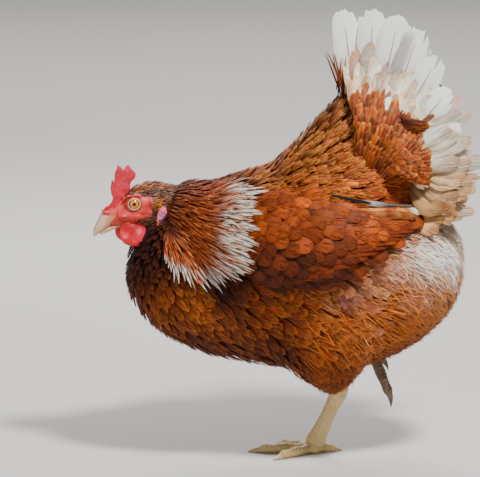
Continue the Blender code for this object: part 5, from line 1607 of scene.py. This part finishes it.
def shafts(name, lines, outs, thick, material):
    """Thin tapering quills down the middle of vanes."""
    parts = []
    for line, out in zip(lines, outs):
        line = line[: int(len(line) * 0.92)]
        out = out[: len(line)]
        across = unit(np.cross(np.gradient(line, axis=0), out))
        half = thick * np.linspace(1, 0.3, len(line))
        parts.append(tube(ring_points(line + out * 0.0001, across, out, half, half * 0.8, 6)))
    worn(mesh_object(name, *joined(parts)), material)


def mottled_material(name, light, deep, size, detail, band, roughness):
    """A finish that wanders between two tones: the material, its tree, its shader and the tone."""
    material, tree, shader = new_material(name)
    where = node_of(tree, "TexCoord", {})["Object"]
    patches = node_of(tree, "TexNoise", {"Vector": where, "Scale": size, "Detail": detail})[0]
    ramp = tree.nodes.new("ShaderNodeValToRGB")
    for element, place, colour in zip(ramp.color_ramp.elements, band, (deep, light)):
        element.position, element.color = place, (*colour, 1)
    tree.links.new(patches, ramp.inputs[0])
    feed(tree, shader, {"Base Color": ramp.outputs[0], "Roughness": roughness})
    return material, tree, shader, ramp.outputs[0]


SHAFT_BROWN = paint(132, 82, 50)
shaft_horn = mottled_material(
    "shaft_horn", np.clip(SHAFT_BROWN * 1.15, 0, 0.95), SHAFT_BROWN * 0.75, 220, 2, (0.35, 0.65), 0.5)[0]
# The far side has the feathers between the near ones, a little shorter
FAR_SHORTER = 0.92
far_quills = along(TAIL_QUILLS, 2 * len(TAIL_QUILLS) - 1)[1:15:2]
for root_at, tip_at in ((0, 2), (1, 4)):
    far_quills[:, tip_at] = far_quills[:, root_at] + (far_quills[:, tip_at] - far_quills[:, root_at]) * FAR_SHORTER
BIG_QUILLS = {LEFT: TAIL_QUILLS[:8], RIGHT: far_quills}
for side, word in SIDES:
    lines, outs = tail_lines(side, BIG_QUILLS[side], 14)
    widths = np.array([quill[5] for quill in BIG_QUILLS[side]]) * 0.98
    feather_object(
        "tail_feathers_" + word, "quill", lines, outs, widths, body_ground.roots(lines), tail_colour(len(lines)),
        white_vanes, "white_feathers", camber=0.14, ragged=0.13, splits=0.9, roll=0.0, tilt=0.14 * -side, thick=0.0006,
    )
    shafts("tail_shafts_" + word, lines, outs, 0.0008, shaft_horn)


# %% [markdown]
# Smaller curved feathers in cream and tan fill the lower rear of the fan, in two layers on each side.

# %% Curved lobes under the big feathers
# From top to bottom: root x and z, tip x, y and z, how tan
LOBES = (
    (0.086, 0.306, 0.137, 0.036, 0.334, 0.05), (0.088, 0.300, 0.146, 0.038, 0.309, 0.15),
    (0.089, 0.292, 0.151, 0.040, 0.286, 0.40), (0.089, 0.282, 0.150, 0.041, 0.264, 0.65),
    (0.087, 0.272, 0.142, 0.042, 0.245, 0.80), (0.083, 0.264, 0.128, 0.043, 0.231, 0.95),
)
# For each of the two layers: how many, and how much of the length
LOBE_LAYERS = ((19, 1.0), (15, 0.78))
LOBE_WIDTH, LOBE_BARB_WIDTH = 0.0160, 0.0150
for side, word in SIDES:
    lines, tan = [], []
    s = np.linspace(0, 1, 10)
    for layer, (number, length) in enumerate(LOBE_LAYERS):
        for root_x, root_z, tip_x, tip_y, tip_z, share in along(LOBES, number):
            slip = rng.normal(0, 0.0034, 4)
            short = length * (1 + rng.normal(0, 0.05))
            x = root_x + slip[0] + (tip_x - root_x) * short * s
            y = side * (0.014 + (tip_y - 0.014) * np.sqrt(s) + 0.005 * layer)
            hang = (0.004 + 0.008 * share) * np.sin(math.pi * s)
            z = root_z + slip[1] + ((tip_z - root_z) * short + slip[3]) * s - hang
            lines.append(xyz(x, y, z))
            tan.append(share + rng.normal(0, 0.12) + 0.15 * layer)
    lines, tan = np.array(lines), np.clip(np.array(tan), 0, 1)[:, None]
    ahead = unit(np.gradient(lines, axis=1))
    out = np.array((0.35, side, 0.20))
    outs = unit(out - ahead * (ahead @ out)[..., None])
    middles = fade(paint(254, 244, 232), paint(204, 158, 114), tan)
    rims = fade(paint(214, 170, 132), paint(140, 88, 52), tan)
    patches = body_ground.roots(lines)
    feather_object(
        "tail_lobes_" + word, "lobe", lines, outs, LOBE_WIDTH * np.exp(rng.normal(0, 0.14, len(lines))), patches,
        contour_colour(middles, rims, 0.0, 0.25, 0.14, 0.62, 0.55), white_vanes, "white_feathers", camber=0.16,
        ragged=0.09, splits=0.35, roll=0.12, tilt=0.10 * -side, thick=0.0005,
    )
    barb_piece("lobe_barbs_" + word, "white_feathers", lines, outs, np.full(len(lines), LOBE_BARB_WIDTH), patches,
               middles, 4, 0.08, 0.0009, root=0.7)


# %% [markdown]
# The short feathers over the tail's root lie in tiers like tiles, white where they meet the fan and brown
# towards the rump. A few thin wisps stand at the front.

# %% Coverts at the tail's root
# Where their tips reach along the big feathers, width, length, how brown
COVERT_SETS = (
    (0.62, 0.0150, 0.038, 0.04), (0.50, 0.0135, 0.034, 0.16), (0.42, 0.0105, 0.028, 0.48),
    (0.35, 0.0095, 0.024, 0.75), (0.28, 0.0095, 0.023, 1.00), (0.21, 0.0095, 0.022, 1.00),
    (0.14, 0.0095, 0.022, 1.00), (0.07, 0.0095, 0.022, 1.00), (0.00, 0.0095, 0.022, 1.00),
    (-0.07, 0.0095, 0.022, 1.00), (-0.14, 0.0095, 0.022, 1.00),
)
# The brown tuft that points backwards over the white: number of feathers, root and tip
TUFT = (11, (0.078, 0.3270), (0.1040, 0.3195))
TUFT_WIDTH, TUFT_BROWN = 0.0074, 1.03
WISPS, WISP_WIDTH = 9, 0.0020
# How far down the fan the white coverts go, and how far the coverts stand off the fan by their place along it
LAST_WHITE_COVERT = 0.72
FAN_OUT = (
    (-0.40, 0.030), (-0.15, 0.034), (0.0, 0.034), (0.10, 0.031), (0.20, 0.025), (0.30, 0.018), (0.40, 0.011),
    (0.52, 0.0070), (0.70, 0.0040),
)


def over_tail(side, quill, share, out_by):
    """A point over one side's fan: a place along a quill, pushed outwards to clear the rump."""
    root, tip = quill_ends(side, quill)
    return root + (tip - root) * share + np.array((0, side * (looked_up(share, FAN_OUT) + out_by), 0))


def tail_coverts(side):
    """Short feathers in tiers over the root of the tail: lines, outs, widths and how brown each is."""
    lines, outs, widths, brown = [], [], [], []
    for tier, (reach, width, length, share) in enumerate(COVERT_SETS):
        number = int(0.20 * (0.60 + reach) / (width * 0.62))
        for k in range(number):
            place = (k + 0.5 * (tier % 2)) / number
            place = np.clip(place + rng.normal(0, 0.010), 0, 1)
            if share < 0.5 and place > LAST_WHITE_COVERT:
                continue
            row = place * (len(TAIL_QUILLS) - 1)
            i = min(int(row), len(TAIL_QUILLS) - 2)
            quill = np.array(TAIL_QUILLS[i]) + (np.array(TAIL_QUILLS[i + 1]) - TAIL_QUILLS[i]) * (row - i)
            full = math.hypot(quill[2] - quill[0], quill[4] - quill[1])
            end = reach * math.exp(rng.normal(0, 0.10)) * (0.098 / full) ** 0.5
            start = end - length * math.exp(rng.normal(0, 0.12)) / full
            swing = rng.normal(0, 0.10)
            line = []
            for s in np.linspace(0, 1, 7):
                here = quill.copy()
                here[2] += swing * s * length * 0.5
                line.append(over_tail(side, here, start + (end - start) * s, 0.0003 * tier - 0.0040 * (1 - s) ** 2))
            lines.append(line)
            widths.append(width * math.exp(rng.normal(0, 0.14)))
            brown.append(np.clip(share + rng.normal(0, 0.12 + 0.16 * (place < 0.4 and share < 0.9)), 0, 1))
    number, root, tip = TUFT
    for _ in range(number):
        slip = rng.normal(0, 0.0034, 4)
        s = np.linspace(0, 1, 7)
        lines.append(xyz(
            root[0] + slip[0] + (tip[0] + slip[2] - root[0] - slip[0]) * s,
            side * (0.036 - 0.006 * s + 0.006 * np.sin(math.pi * s) + 0.4 * slip[3]),
            root[1] + slip[1] + (tip[1] + 0.5 * slip[3] - root[1] - slip[1]) * s,
        ))
        widths.append(TUFT_WIDTH)
        brown.append(TUFT_BROWN)
    lines = np.array(lines)
    ahead = unit(np.gradient(lines, axis=1))
    out = np.array((0.15, side, 0.15))
    outs = unit(out - ahead * (ahead @ out)[..., None])
    return lines, outs, np.array(widths), np.array(brown)[:, None]


for side, word in SIDES:
    lines, outs, widths, brown = tail_coverts(side)
    tone = smooth_step(0.25, 0.75, brown)
    orange = (rng.random((len(lines), 1)) < 0.5) * 1.0
    middles = fade(paint(248, 230, 208), fade(paint(106, 46, 16), paint(146, 68, 24), orange), tone)
    rims = fade(paint(228, 170, 122), paint(184, 108, 52), tone)
    darker = 1 - 2 * np.maximum(brown - 1, 0)
    feather_object(
        "tail_coverts_" + word, "saddle", lines, outs, widths, body_ground.roots(lines),
        contour_colour(middles * darker, rims * darker, 0.2, 0.2, 0.28), contour_vanes, "white_feathers",
        camber=0.22, splits=0.4, roll=0.08, thick=0.0005,
    )
    share, slip = rng.random(WISPS), rng.normal(0, 0.0035, (WISPS, 4)).T
    quills = np.column_stack([
        0.031 + 0.7 * slip[0], 0.352 + slip[1], 0.013 + 0.020 * share + slip[2], np.full(WISPS, 0.004),
        0.388 - 0.010 * share + slip[3],
    ])
    lines, outs = tail_lines(side, quills, 9)
    lines += outs * 0.006
    brown = np.tile(paint(118, 58, 26), (WISPS, 1))
    feather_object(
        "tail_wisps_" + word, "lance", lines, outs, np.full(WISPS, WISP_WIDTH), body_ground.roots(lines),
        contour_colour(brown, brown * 1.5, 0.4, 0.2, 0.34), contour_vanes, "white_feathers", camber=0.22, roll=0.2,
        thick=0.0004,
    )


# %% [markdown]
# ## Down at the vent
#
# Behind the legs and under the tail the barbs don't hook together, so the feathers look like hair. They
# are made as loose tapering strands over the feathers there, thickest where the coat is white.

# %% Loose strands
def near_vent(points, normals):
    """Chosen at random, most of them at the vent and fewer on the flank."""
    vent = smooth_step(0.052, 0.086, points[:, 0]) * smooth_step(0.300, 0.250, points[:, 2])
    flank = 0.30 * smooth_step(-0.03, 0.04, points[:, 0]) * smooth_step(0.170, 0.145, points[:, 2])
    return rng.random(len(points)) < np.maximum(vent, flank)


DOWN_SPACING, DOWN_LENGTH, DOWN_WIDTH = 0.0017, 0.020, 0.0012
roots, root_faces, root_normals = scattered(body_ground, 60000, lambda p: np.full(len(p), DOWN_SPACING), near_vent)
traits = traits_at(roots)
count = len(roots)
lies = unit(traits[:, :3] + 0.28 * rng.standard_normal((count, 3)))
lengths = DOWN_LENGTH * np.exp(0.25 * rng.standard_normal(count))
raised = 0.0010 + 0.0045 * rng.random(count) ** 2
down_tint = paled(roots, 0.5 * traits[:, 7:10] + 0.5 * traits[:, 10:13])
lines, outs = laid_lines(body_ground, roots, root_normals, lies, lengths, 5, np.full(count, 0.002), raised)
feather_object(
    "vent_down", "strand", lines, outs, np.full(count, DOWN_WIDTH), body_ground.patch(roots, root_faces),
    contour_colour(down_tint * 1.12, down_tint * 1.12, 0.0, 0.0, 0.10, root=0.95), soft_down, "white_feathers",
    camber=0.3, roll=0.3, splits=0.0,
)


# %% [markdown]
# ## Feathers of the head
#
# The face is bare skin from the bill to just behind the eye. Crown, nape and cheek carry the smallest
# feathers of all, and a tuft of brown bristles covers the ear.

# %% Where the face is bare
# Upper and lower edge of the bare skin, x and z on the straight head
BROW = (
    (-0.215, 0.240), (-0.192, 0.2452), (-0.1865, 0.2455), (-0.1835, 0.2505), (-0.1805, 0.2538), (-0.174, 0.2554),
    (-0.168, 0.2545), (-0.161, 0.2525), (-0.1546, 0.2505),
)
CHEEK = ((-0.178, 0.216), (-0.170, 0.2305), (-0.157, 0.2335))
BACK_OF_FACE = -0.1575
EAR = (-0.1548, 0.2460)


def bareness(points):
    """1 on the bare face and 0 under feathers, for points of the turned head."""
    straight = turned_back(points)
    x, z = straight[:, 0], straight[:, 2]
    return (smooth_step(0.0008, -0.0008, z - looked_up(x, BROW)) * smooth_step(0.0010, -0.0010, x - BACK_OF_FACE)
            * smooth_step(-0.0010, 0.0010, z - looked_up(x, CHEEK)))


def from_ear(straight):
    return np.hypot(straight[:, 0] - EAR[0], straight[:, 2] - EAR[1])


def feathered(points, normals):
    """Whether points carry the plain feathers of the head: not the face, the chin, the ear or the cheek."""
    straight = turned_back(points)
    x, z = straight[:, 0], straight[:, 2]
    under_bill, cheek = (x < -0.180) & (z < 0.238), (x < -0.155) & (z < 0.2345)
    return (bareness(points) < 0.4) & ~under_bill & (x > -0.194) & (from_ear(straight) >= 0.0048) & ~cheek


def head_coat(name, kind, tries, spacing, allowed, lie, length, width, colours, lift=0.0010, sunk=0.0006):
    """Feathers on the head. lie, length and colours are functions of places on the straight head."""
    roots, faces, normals = scattered(head_ground, tries, lambda p: np.full(len(p), spacing), allowed)
    straight = turned_back(roots)
    count = len(roots)
    lies = turned(lie(straight) + HEAD_PIVOT) - HEAD_PIVOT
    lies = unit(unit(lies) + 0.14 * rng.standard_normal((count, 3)))
    lengths = length(straight) * np.exp(0.15 * rng.standard_normal(count))
    raised = lift * (0.5 + rng.random(count))
    lines, outs = laid_lines(head_ground, roots, normals, lies, lengths, 5, np.full(count, sunk), raised)
    middles, rims = colours(straight)
    feather_object(
        name, kind, lines, outs, np.full(count, width), head_ground.patch(roots, faces),
        contour_colour(middles, rims, 0.6, 0.1, 0.35), contour_vanes, "hackle_feathers", camber=0.2, roll=0.15,
        thick=0.0002, splits=0.2,
    )


def backwards(straight):
    """The lie of the head's feathers: up over the brow, then down to the nape and the throat."""
    back = smooth_step(-0.190, -0.140, straight[:, 0])
    low = smooth_step(0.238, 0.222, straight[:, 2])
    return xyz(1, 0, 0.40 - 0.75 * back - 0.9 * low)


def crown_colours(straight):
    """Dark brown with tan streaks, darkest in the band over the eye, at the nape and behind the cheek."""
    dark_brow = np.exp(-(((straight[:, 2] - 0.2560 - 0.05 * (straight[:, 0] + 0.17)) / 0.0036) ** 2))
    dark_brow = (dark_brow * smooth_step(0.008, 0.012, np.abs(straight[:, 1])))[:, None]
    pale = (rng.random(len(straight)) < 0.22)[:, None] * (1 - dark_brow)
    middles = fade(paint(104, 42, 16), paint(158, 74, 32), pale)
    rims = fade(paint(124, 52, 22), paint(204, 122, 70), pale)
    nape = smooth_step(-0.160, -0.138, straight[:, 0])[:, None]
    low = smooth_step(0.238, 0.222, straight[:, 2])[:, None]
    dark = (1 - 0.80 * dark_brow) * (1 - 0.42 * nape) * (1 - 0.50 * low)
    return middles * dark, rims * dark


head_coat("head_feathers", "small", 60000, 0.0015, feathered, backwards,
          lambda p: 0.0062 + 0.0048 * smooth_step(-0.190, -0.150, p[:, 0]), 0.0030, crown_colours)


# %% [markdown]
# The ear is hidden by a tuft of short ochre feathers, and bristles stand on the cheek between the bare
# lip and the wattle.

# %% Ear tuft and cheek bristles
def at_ear(points, normals):
    return from_ear(turned_back(points)) < 0.0052


def at_cheek(points, normals):
    straight = turned_back(points)
    x, z = straight[:, 0], straight[:, 2]
    return (x > -0.178) & (x < -0.150) & (z < 0.2345) & (bareness(points) < 0.9) & (z > 0.218)


def ear_colours(straight):
    outer = smooth_step(0.0030, 0.0050, from_ear(straight))[:, None]
    middles = fade(paint(186, 104, 44), paint(150, 74, 30), outer)
    return middles, fade(paint(214, 136, 68), paint(230, 182, 122), outer)


def cheek_colours(straight):
    dark = rng.random((len(straight), 1)) * 0.6
    return paint(168, 104, 66) * (1 - dark), paint(196, 140, 98) * (1 - dark)


head_coat("ear_tufts", "pointed", 40000, 0.0010, at_ear, lambda p: xyz(1, 0, -0.5 + 80 * (p[:, 2] - EAR[1])),
          lambda p: np.full(len(p), 0.0042), 0.0015, ear_colours, 0.0014)
head_coat("cheek_bristles", "strand", 60000, 0.0009, at_cheek, lambda p: np.tile((1.0, 0, -0.45), (len(p), 1)),
          lambda p: np.full(len(p), 0.0038), 0.0005, cheek_colours, 0.0012)


# %% [markdown]
# ## Comb, wattles and ear lobes
#
# These are folds of the same bare skin, full of blood. The comb is cut from an outline, swollen at its
# root and thinner at its points. The wattles hang as soft leaves with a few creases. All get a skin
# material with fine round bumps, and pale and dark patches as light falls through them.

# %% Bare skin material
def tinted_material(*finish):
    """A mottled finish times the painted tint: the material, its tree and its shader."""
    material, tree, shader, tone = mottled_material(*finish)
    tint = node_of(tree, "Attribute", {}, attribute_name="tint")["Color"]
    mixed = node_of(tree, "Mix", {0: 1, 6: tone, 7: tint}, data_type="RGBA", blend_type="MULTIPLY")
    feed(tree, shader, {"Base Color": mixed[2]})
    return material, tree, shader


def flesh_material(name, light, deep, bump=0.5, scale=900.0, gloss=0.42):
    """Bare skin that lets light in, with fine round bumps."""
    material, tree, shader = tinted_material(name, light, deep, 130, 4, (0.32, 0.68), gloss)
    where = node_of(tree, "TexCoord", {})["Object"]
    cells = node_of(tree, "TexVoronoi", {"Vector": where, "Scale": scale})["Distance"]
    relief = node_of(tree, "Bump", {"Height": cells, "Strength": bump, "Distance": 0.0004})[0]
    feed(tree, shader, {
        "Normal": relief, "Subsurface Weight": 0.25, "Subsurface Radius": (0.004, 0.0012, 0.0008),
        "Subsurface Scale": 0.5})
    return material


red_skin = flesh_material("red_skin", paint(226, 72, 84), paint(196, 40, 52), bump=0.35)


def dress(obj, tint, material, slot_name, *nodes):
    """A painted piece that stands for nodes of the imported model."""
    set_tint(obj, tint)
    worn(obj, material)
    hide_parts(*nodes)


# %% Comb
COMB_OUTLINE = (
    (-0.2013, 0.2372), (-0.1985, 0.2418), (-0.1950, 0.2434), (-0.1922, 0.2465), (-0.1914, 0.2501),
    (-0.1930, 0.2537), (-0.1937, 0.2594), (-0.1920, 0.2674), (-0.1897, 0.2632), (-0.1896, 0.2722),
    (-0.1879, 0.2774), (-0.1866, 0.2742), (-0.1873, 0.2817), (-0.1840, 0.2795), (-0.1814, 0.2762),
    (-0.1793, 0.2795), (-0.1767, 0.2815), (-0.1738, 0.2770), (-0.1696, 0.2729), (-0.1708, 0.2682),
    (-0.1742, 0.2654), (-0.1750, 0.2606), (-0.1770, 0.2540), (-0.1830, 0.2470), (-0.1900, 0.2370),
    (-0.1960, 0.2330),
)
COMB_HALF, COMB_VOXEL, COMB_PASSES = 0.0021, 0.00055, 4
outline = np.array(COMB_OUTLINE)
count = len(outline)
slab = np.vstack([xyz(outline[:, 0], y, outline[:, 1]) for y in (-COMB_HALF, COMB_HALF)])
walls = [(i, (i + 1) % count, count + (i + 1) % count, count + i) for i in range(count)]
slab_mesh = bpy.data.meshes.new("comb_slab")
slab_mesh.from_pydata(slab.tolist(), [], [tuple(range(count))[::-1], tuple(range(count, 2 * count)), *walls])
slab_object = bpy.data.objects.new("comb_slab", slab_mesh)
bpy.context.scene.collection.objects.link(slab_object)
comb_points, _, comb_faces = run_together(slab_object, COMB_VOXEL, COMB_PASSES)
rise = np.clip((comb_points[:, 2] - 0.233) / 0.049, 0, 1)
comb_points[:, 1] *= 1.25 - 0.55 * rise
comb_points[:, 1] += 0.0018 * np.sin(3.2 * rise + 90 * (comb_points[:, 0] + 0.1853)) * rise
comb_points[:, 1] += 0.0005 * mottle(comb_points, 0.006) * np.sign(comb_points[:, 1])
# Painted shade darkens the comb towards its root, and a painted highlight turns its points paler pink.
tint = (0.72 + 0.28 * rise)[:, None] * xyz(1, 1 + 1.6 * rise**2, 1 + 1.9 * rise**2)
dress(mesh_object("comb_blade", turned(comb_points), comb_faces), tint, red_skin, "red_skin", "comb")
print("comb triangles:", len(comb_faces))


# %% Wattles and ear lobes
# From top to bottom: x, z, half length and half thickness
WATTLE = (
    (-0.1742, 0.2275, 0.0090, 0.0026), (-0.1745, 0.2220, 0.0122, 0.0028), (-0.1745, 0.2150, 0.0132, 0.0034),
    (-0.1735, 0.2090, 0.0112, 0.0036), (-0.1722, 0.2052, 0.0062, 0.0024),
)
EARLOBE = (
    (-0.1478, 0.2430, 0.0014, 0.0013), (-0.1479, 0.2405, 0.0034, 0.0026), (-0.1484, 0.2350, 0.0052, 0.0036),
    (-0.1500, 0.2275, 0.0046, 0.0036), (-0.1536, 0.2195, 0.0028, 0.0024), (-0.1560, 0.2160, 0.0013, 0.0013),
)


def flap(stations, side, lean, place_y, count, sides):
    """A hanging leaf of skin that leans outwards on its way down."""
    rows = along(stations, count)
    centres = xyz(rows[:, 0], side * (place_y + (stations[0][1] - rows[:, 1]) * lean), rows[:, 1])
    lengthways = np.tile((1.0, 0, 0), (count, 1))
    return tube(ring_points(centres, lengthways, np.tile(SIDE, (count, 1)), rows[:, 2], rows[:, 3], sides))


lobe_skin = flesh_material("lobe_skin", paint(236, 140, 150), paint(214, 92, 112), scale=700.0)
for side, word in SIDES:
    points, faces = flap(WATTLE, side, 0.22, 0.0085, 40, 56)
    height = (points[:, 2] - 0.2052) / 0.0223
    points[:, 1] += 0.0007 * mottle(points, 0.008) + side * 0.0010 * np.sin(points[:, 0] * 260 + 1.0) * (1 - height)
    # Painted shadow darkens the top of each wattle, under the bill.
    tint = np.ones((len(points), 3)) * (1 - 0.35 * smooth_step(0.55, 1.0, height))[:, None]
    dress(mesh_object("wattle_leaf_" + word, turned(points), faces), tint, red_skin, "red_skin", "wattle_" + word)
    points, faces = flap(EARLOBE, side, 0.02, 0.0202, 32, 40)
    points[:, 1] += 0.0003 * np.sin(points[:, 2] * 1400) * np.sin(points[:, 0] * 900)
    centre = np.array((-0.1488, 0.2335))
    apart = np.linalg.norm((points[:, (0, 2)] - centre) / (0.0034, 0.0060), axis=1)
    tint = fade(np.ones((len(points), 3)), np.array((0.62, 1.1, 2.0)), smooth_step(1.05, 0.55, apart)[:, None])
    dress(mesh_object("ear_lobe_" + word, turned(points), faces), tint, lobe_skin, "lobe_skin", "earlobe_" + word)
    print(word, "ear lobe triangles:", len(faces))


# %% [markdown]
# ## Eyes
#
# The hen's eye is a clear ball with an orange iris, a small round pupil and a dark ring round the iris.
# The colours are painted by distance from the axis of the eye. A wet surface comes from low roughness.

# %% Eyeballs
eye_wet, eye_tree, eye_shader = new_material("eye_wet")
eye_tint = node_of(eye_tree, "Attribute", {}, attribute_name="tint")["Color"]
feed(eye_tree, eye_shader, {"Base Color": eye_tint, "Roughness": 0.06, "Coat Weight": 0.6})
# How far off the axis the pupil ends and the dark ring begins, each with a soft edge
PUPIL, DARK_RING = (0.0015, 0.0018), (0.0038, 0.0042)
for side, word in SIDES:
    axis = mirrored(EYE_AXIS, side)
    right = unit(np.cross(axis, (0, 0, 1)))
    up = np.cross(right, axis)
    turn = np.concatenate([np.linspace(0.012, 0.8, 70), np.linspace(0.83, 3.1, 40)])
    centres = mirrored(EYE_PLACE, side) + axis * (np.cos(turn) * EYE_RADIUS)[:, None]
    wide = np.sin(turn) * EYE_RADIUS
    ways = (np.tile(way, (len(turn), 1)) for way in (right, up))
    points, faces = tube(ring_points(centres, *ways, wide, wide, 96))
    from_eye, aside, in_front = round_eye(points, side)
    aside = np.where(in_front, aside, EYE_RADIUS)
    angle = np.arctan2(from_eye @ up, from_eye @ right)
    ray = 0.5 + 0.5 * np.sin(angle * 23) * np.sin(angle * 11 + 1)
    gold = np.clip(0.5 * ray[:, None] + 0.5 * smooth_step(0.0020, 0.0040, aside)[:, None], 0, 1)
    tint = fade(paint(226, 128, 20), paint(206, 158, 58), gold)
    tint = fade(paint(8, 6, 6), tint, smooth_step(*PUPIL, aside)[:, None])
    tint = fade(tint, paint(30, 20, 18), smooth_step(*DARK_RING, aside)[:, None])
    dress(mesh_object("eyeball_" + word, turned(points), faces), tint, eye_wet, "eye", "eye_" + word)
    print(word, "eye triangles:", len(faces))


# %% [markdown]
# ## Bill and claws
#
# Horn is smooth and a little waxy. The upper bill hooks over the lower one, is brown where it leaves the
# face and pale at its tip, and has a slit of a nostril under a small lid of horn.

# %% Bill
def horn_material(name, pale, dark):
    return tinted_material(name, pale, dark, 260, 5, (0.3, 0.7), 0.32)[0]


NOSTRIL, NOSTRIL_RADII = (-0.1980, 0.0064, 0.2352), (0.0024, 0.0100, 0.0010)
bill_horn = horn_material("bill_horn", paint(238, 208, 182), paint(214, 170, 142))
points, faces = bill_tube(UPPER_BILL, 60, 56)
nostril_shade = np.ones((len(points), 1))
for side in (LEFT, RIGHT):
    nostril = mirrored(NOSTRIL, side)
    apart = np.linalg.norm((points - nostril) / NOSTRIL_RADII, axis=1)
    points[:, 1] -= side * 0.0016 * smooth_step(1.2, 0.4, apart)
    # Painted shade: the nostril slit is painted dark inside its dent.
    nostril_shade *= (1 - 0.88 * smooth_step(1.15, 0.6, apart))[:, None]
base = smooth_step(-0.2050, -0.1955, points[:, 0])[:, None]
tint = 1 - base * (1 - np.array((0.86, 0.72, 0.60)))
wander = 0.0005 * mottle(points, 0.002)
fleshy = smooth_step(-0.0014, 0.0014, points[:, 2] - 0.2352 + 0.22 * (points[:, 0] + 0.2030) + wander)[:, None]
fleshy = fleshy * smooth_step(-0.2052, -0.2030, points[:, 0])[:, None]
tint = fade(tint, np.array((0.86, 0.20, 0.22)), fleshy) * nostril_shade
dress(mesh_object("bill_upper", turned(points), faces), tint, bill_horn, "horn", "beak_upper")
points, faces = bill_tube(LOWER_BILL, 40, 48)
tint = np.tile((0.92, 0.84, 0.74), (len(points), 1))
dress(mesh_object("bill_lower", turned(points), faces), tint, bill_horn, "horn", "beak_lower")
print("lower bill triangles:", len(faces))


# %% Claws
NAIL_RINGS = 22
claw_horn = horn_material("claw_horn", paint(214, 190, 150), paint(180, 150, 112))
# Painted shade: the lifted foot's claws get a darker horn.
dark_claw = horn_material("dark_claw", paint(120, 102, 84), paint(84, 68, 56))
for word, flat in (("left", True), ("right", False)):
    for toe, (way, stations) in toe_ways(flat).items():
        length, thick = TOES[toe][3], TOES[toe][2] * 0.56
        side_way = np.cross((0, 0, 1), way)
        side_way = unit(side_way) if np.linalg.norm(side_way) > 0.1 else SIDE
        drop = unit(np.cross(side_way, way))
        drop = -drop if drop[2] > 0 else drop
        s = np.linspace(-0.25, 1, NAIL_RINGS)[:, None]
        sag = 0.0022 if flat else 0.0035
        centres = np.array(stations[-1][:3]) + way * (length * s) + drop * (sag * np.maximum(s, 0) ** 2)
        taper = np.clip(1 - 0.86 * np.maximum(s[:, 0], 0) ** 1.2, 0.05, 1)
        ways = (np.tile(w, (NAIL_RINGS, 1)) for w in (side_way, drop))
        points, faces = tube(ring_points(centres, *ways, thick * taper, thick * 1.15 * taper, 24))
        if flat:
            points[:, 2] = np.maximum(points[:, 2], 0)
        nail = mesh_object(f"nail_{word}_{toe}", points, faces)
        dress(nail, np.ones((len(points), 3)), claw_horn if flat else dark_claw, "horn", f"claw_{word}_{toe}")
        print(word, toe, "claw in mm:", 1000 * length)


# %% [markdown]
# ## Painting the skin
#
# One skin carries three finishes: dull brown darkened as painted shade where feathers hide it, red and pink
# on the face, and pale yellow scales on the legs, darker on the lifted leg and marked by the scutes' relief as
# painted shade and light. The tint is painted per point with the same masks that placed the feathers.

# %% Skin colours
scale_skin = flesh_material("scale_skin", np.ones(3) * 0.98, np.ones(3) * 0.84, bump=0.35, scale=520.0, gloss=0.5)
body_skin = flesh_material("body_skin", np.ones(3) * 0.95, np.ones(3) * 0.8, bump=0.3, scale=300.0, gloss=0.8)
face_skin = flesh_material("face_skin", np.ones(3) * 1.0, np.ones(3) * 0.84, bump=0.45, scale=1000.0, gloss=0.45)
# Painted shade: under the coat the skin is the feathers' colour darkened to a third.
shaded_body_tint = traits_at(form_points)[:, 7:10] * 0.35
bare = bareness(head_points)[:, None]
straight = turned_back(head_points)
apart = np.minimum(from_mouth(straight, LEFT), from_mouth(straight, RIGHT))
blush = np.clip(0.5 + 0.6 * mottle(straight, 0.006), 0, 1)[:, None]
face = fade(paint(212, 72, 66), paint(232, 112, 108), blush)
face = fade(face, paint(190, 74, 58), smooth_step(0.236, 0.226, straight[:, 2])[:, None])
lip = np.exp(-(((apart - 0.0028) / 0.0012) ** 2))[:, None] * (straight[:, 2] > 0.228)[:, None]
face = fade(face, paint(214, 44, 44), 0.6 * lip)
# Painted shade darkens the groove of the mouth line.
face = face * (0.35 + 0.65 * smooth_step(0.0003, 0.0014, apart))[:, None]
for side in (LEFT, RIGHT):
    from_eye, aside, in_front = round_eye(straight, side)
    margin = (smooth_step(0.0063, 0.0058, aside) * in_front)[:, None]
    face = fade(face, paint(226, 178, 150), margin)
    corner = smooth_step(-0.0030, -0.0046, from_eye[:, 0])[:, None] * margin
    corner = corner * smooth_step(0.0056, 0.0050, aside)[:, None]
    face = fade(face, paint(112, 84, 104), corner)
    dark = (np.exp(-(((aside - 0.0066) / 0.0004) ** 2)) * in_front)[:, None]
    face = face * (1 - 0.65 * dark)
# Painted shade: the skin under the head's feathers is a dark brown.
head_tint = fade(paint(66, 32, 18), face, bare)
leg_tints = []
# Painted shade: the lifted right leg is painted darker than the standing left one, and the scutes darker in their
# hollows and lighter on their raised edges.
for word, base in (("left", paint(214, 188, 140)), ("right", paint(116, 96, 76))):
    shade = np.clip(1 + 900 * leg_rises[word], 0.50, 1.10)[:, None]
    leg_tints.append(base * shade)
set_tint(skin, np.clip(np.vstack([shaded_body_tint, head_tint, *leg_tints]), 0, 0.95))
for material in (body_skin, face_skin, scale_skin):
    skin.data.materials.append(material)
counts = [len(form_faces), len(head_faces), len(leg_faces["left"]) + len(leg_faces["right"])]
skin.data.polygons.foreach_set("material_index", np.repeat((0, 1, 2), counts).astype(np.int32))
print("share of the head that is bare:", round(float(bare.mean()), 2))
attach(skin, "root")
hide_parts("torso", "neck", "tail", "head", "wing_left", "wing_right", "thigh_left", "thigh_right",
            "shank_left", "shank_right", "foot_left", "foot_right")


# %% [markdown]
# ## Sizes
#
# The size of the dressed hen is printed; soft feathers may stand a little proud of the imported box.
# The dressed hen has to stay in the imported box, give or take what soft feathers may stand proud.

# %% Sizes
low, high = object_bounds()
print("dressed hen in mm:", [round(1000 * side, 1) for side in high - low])
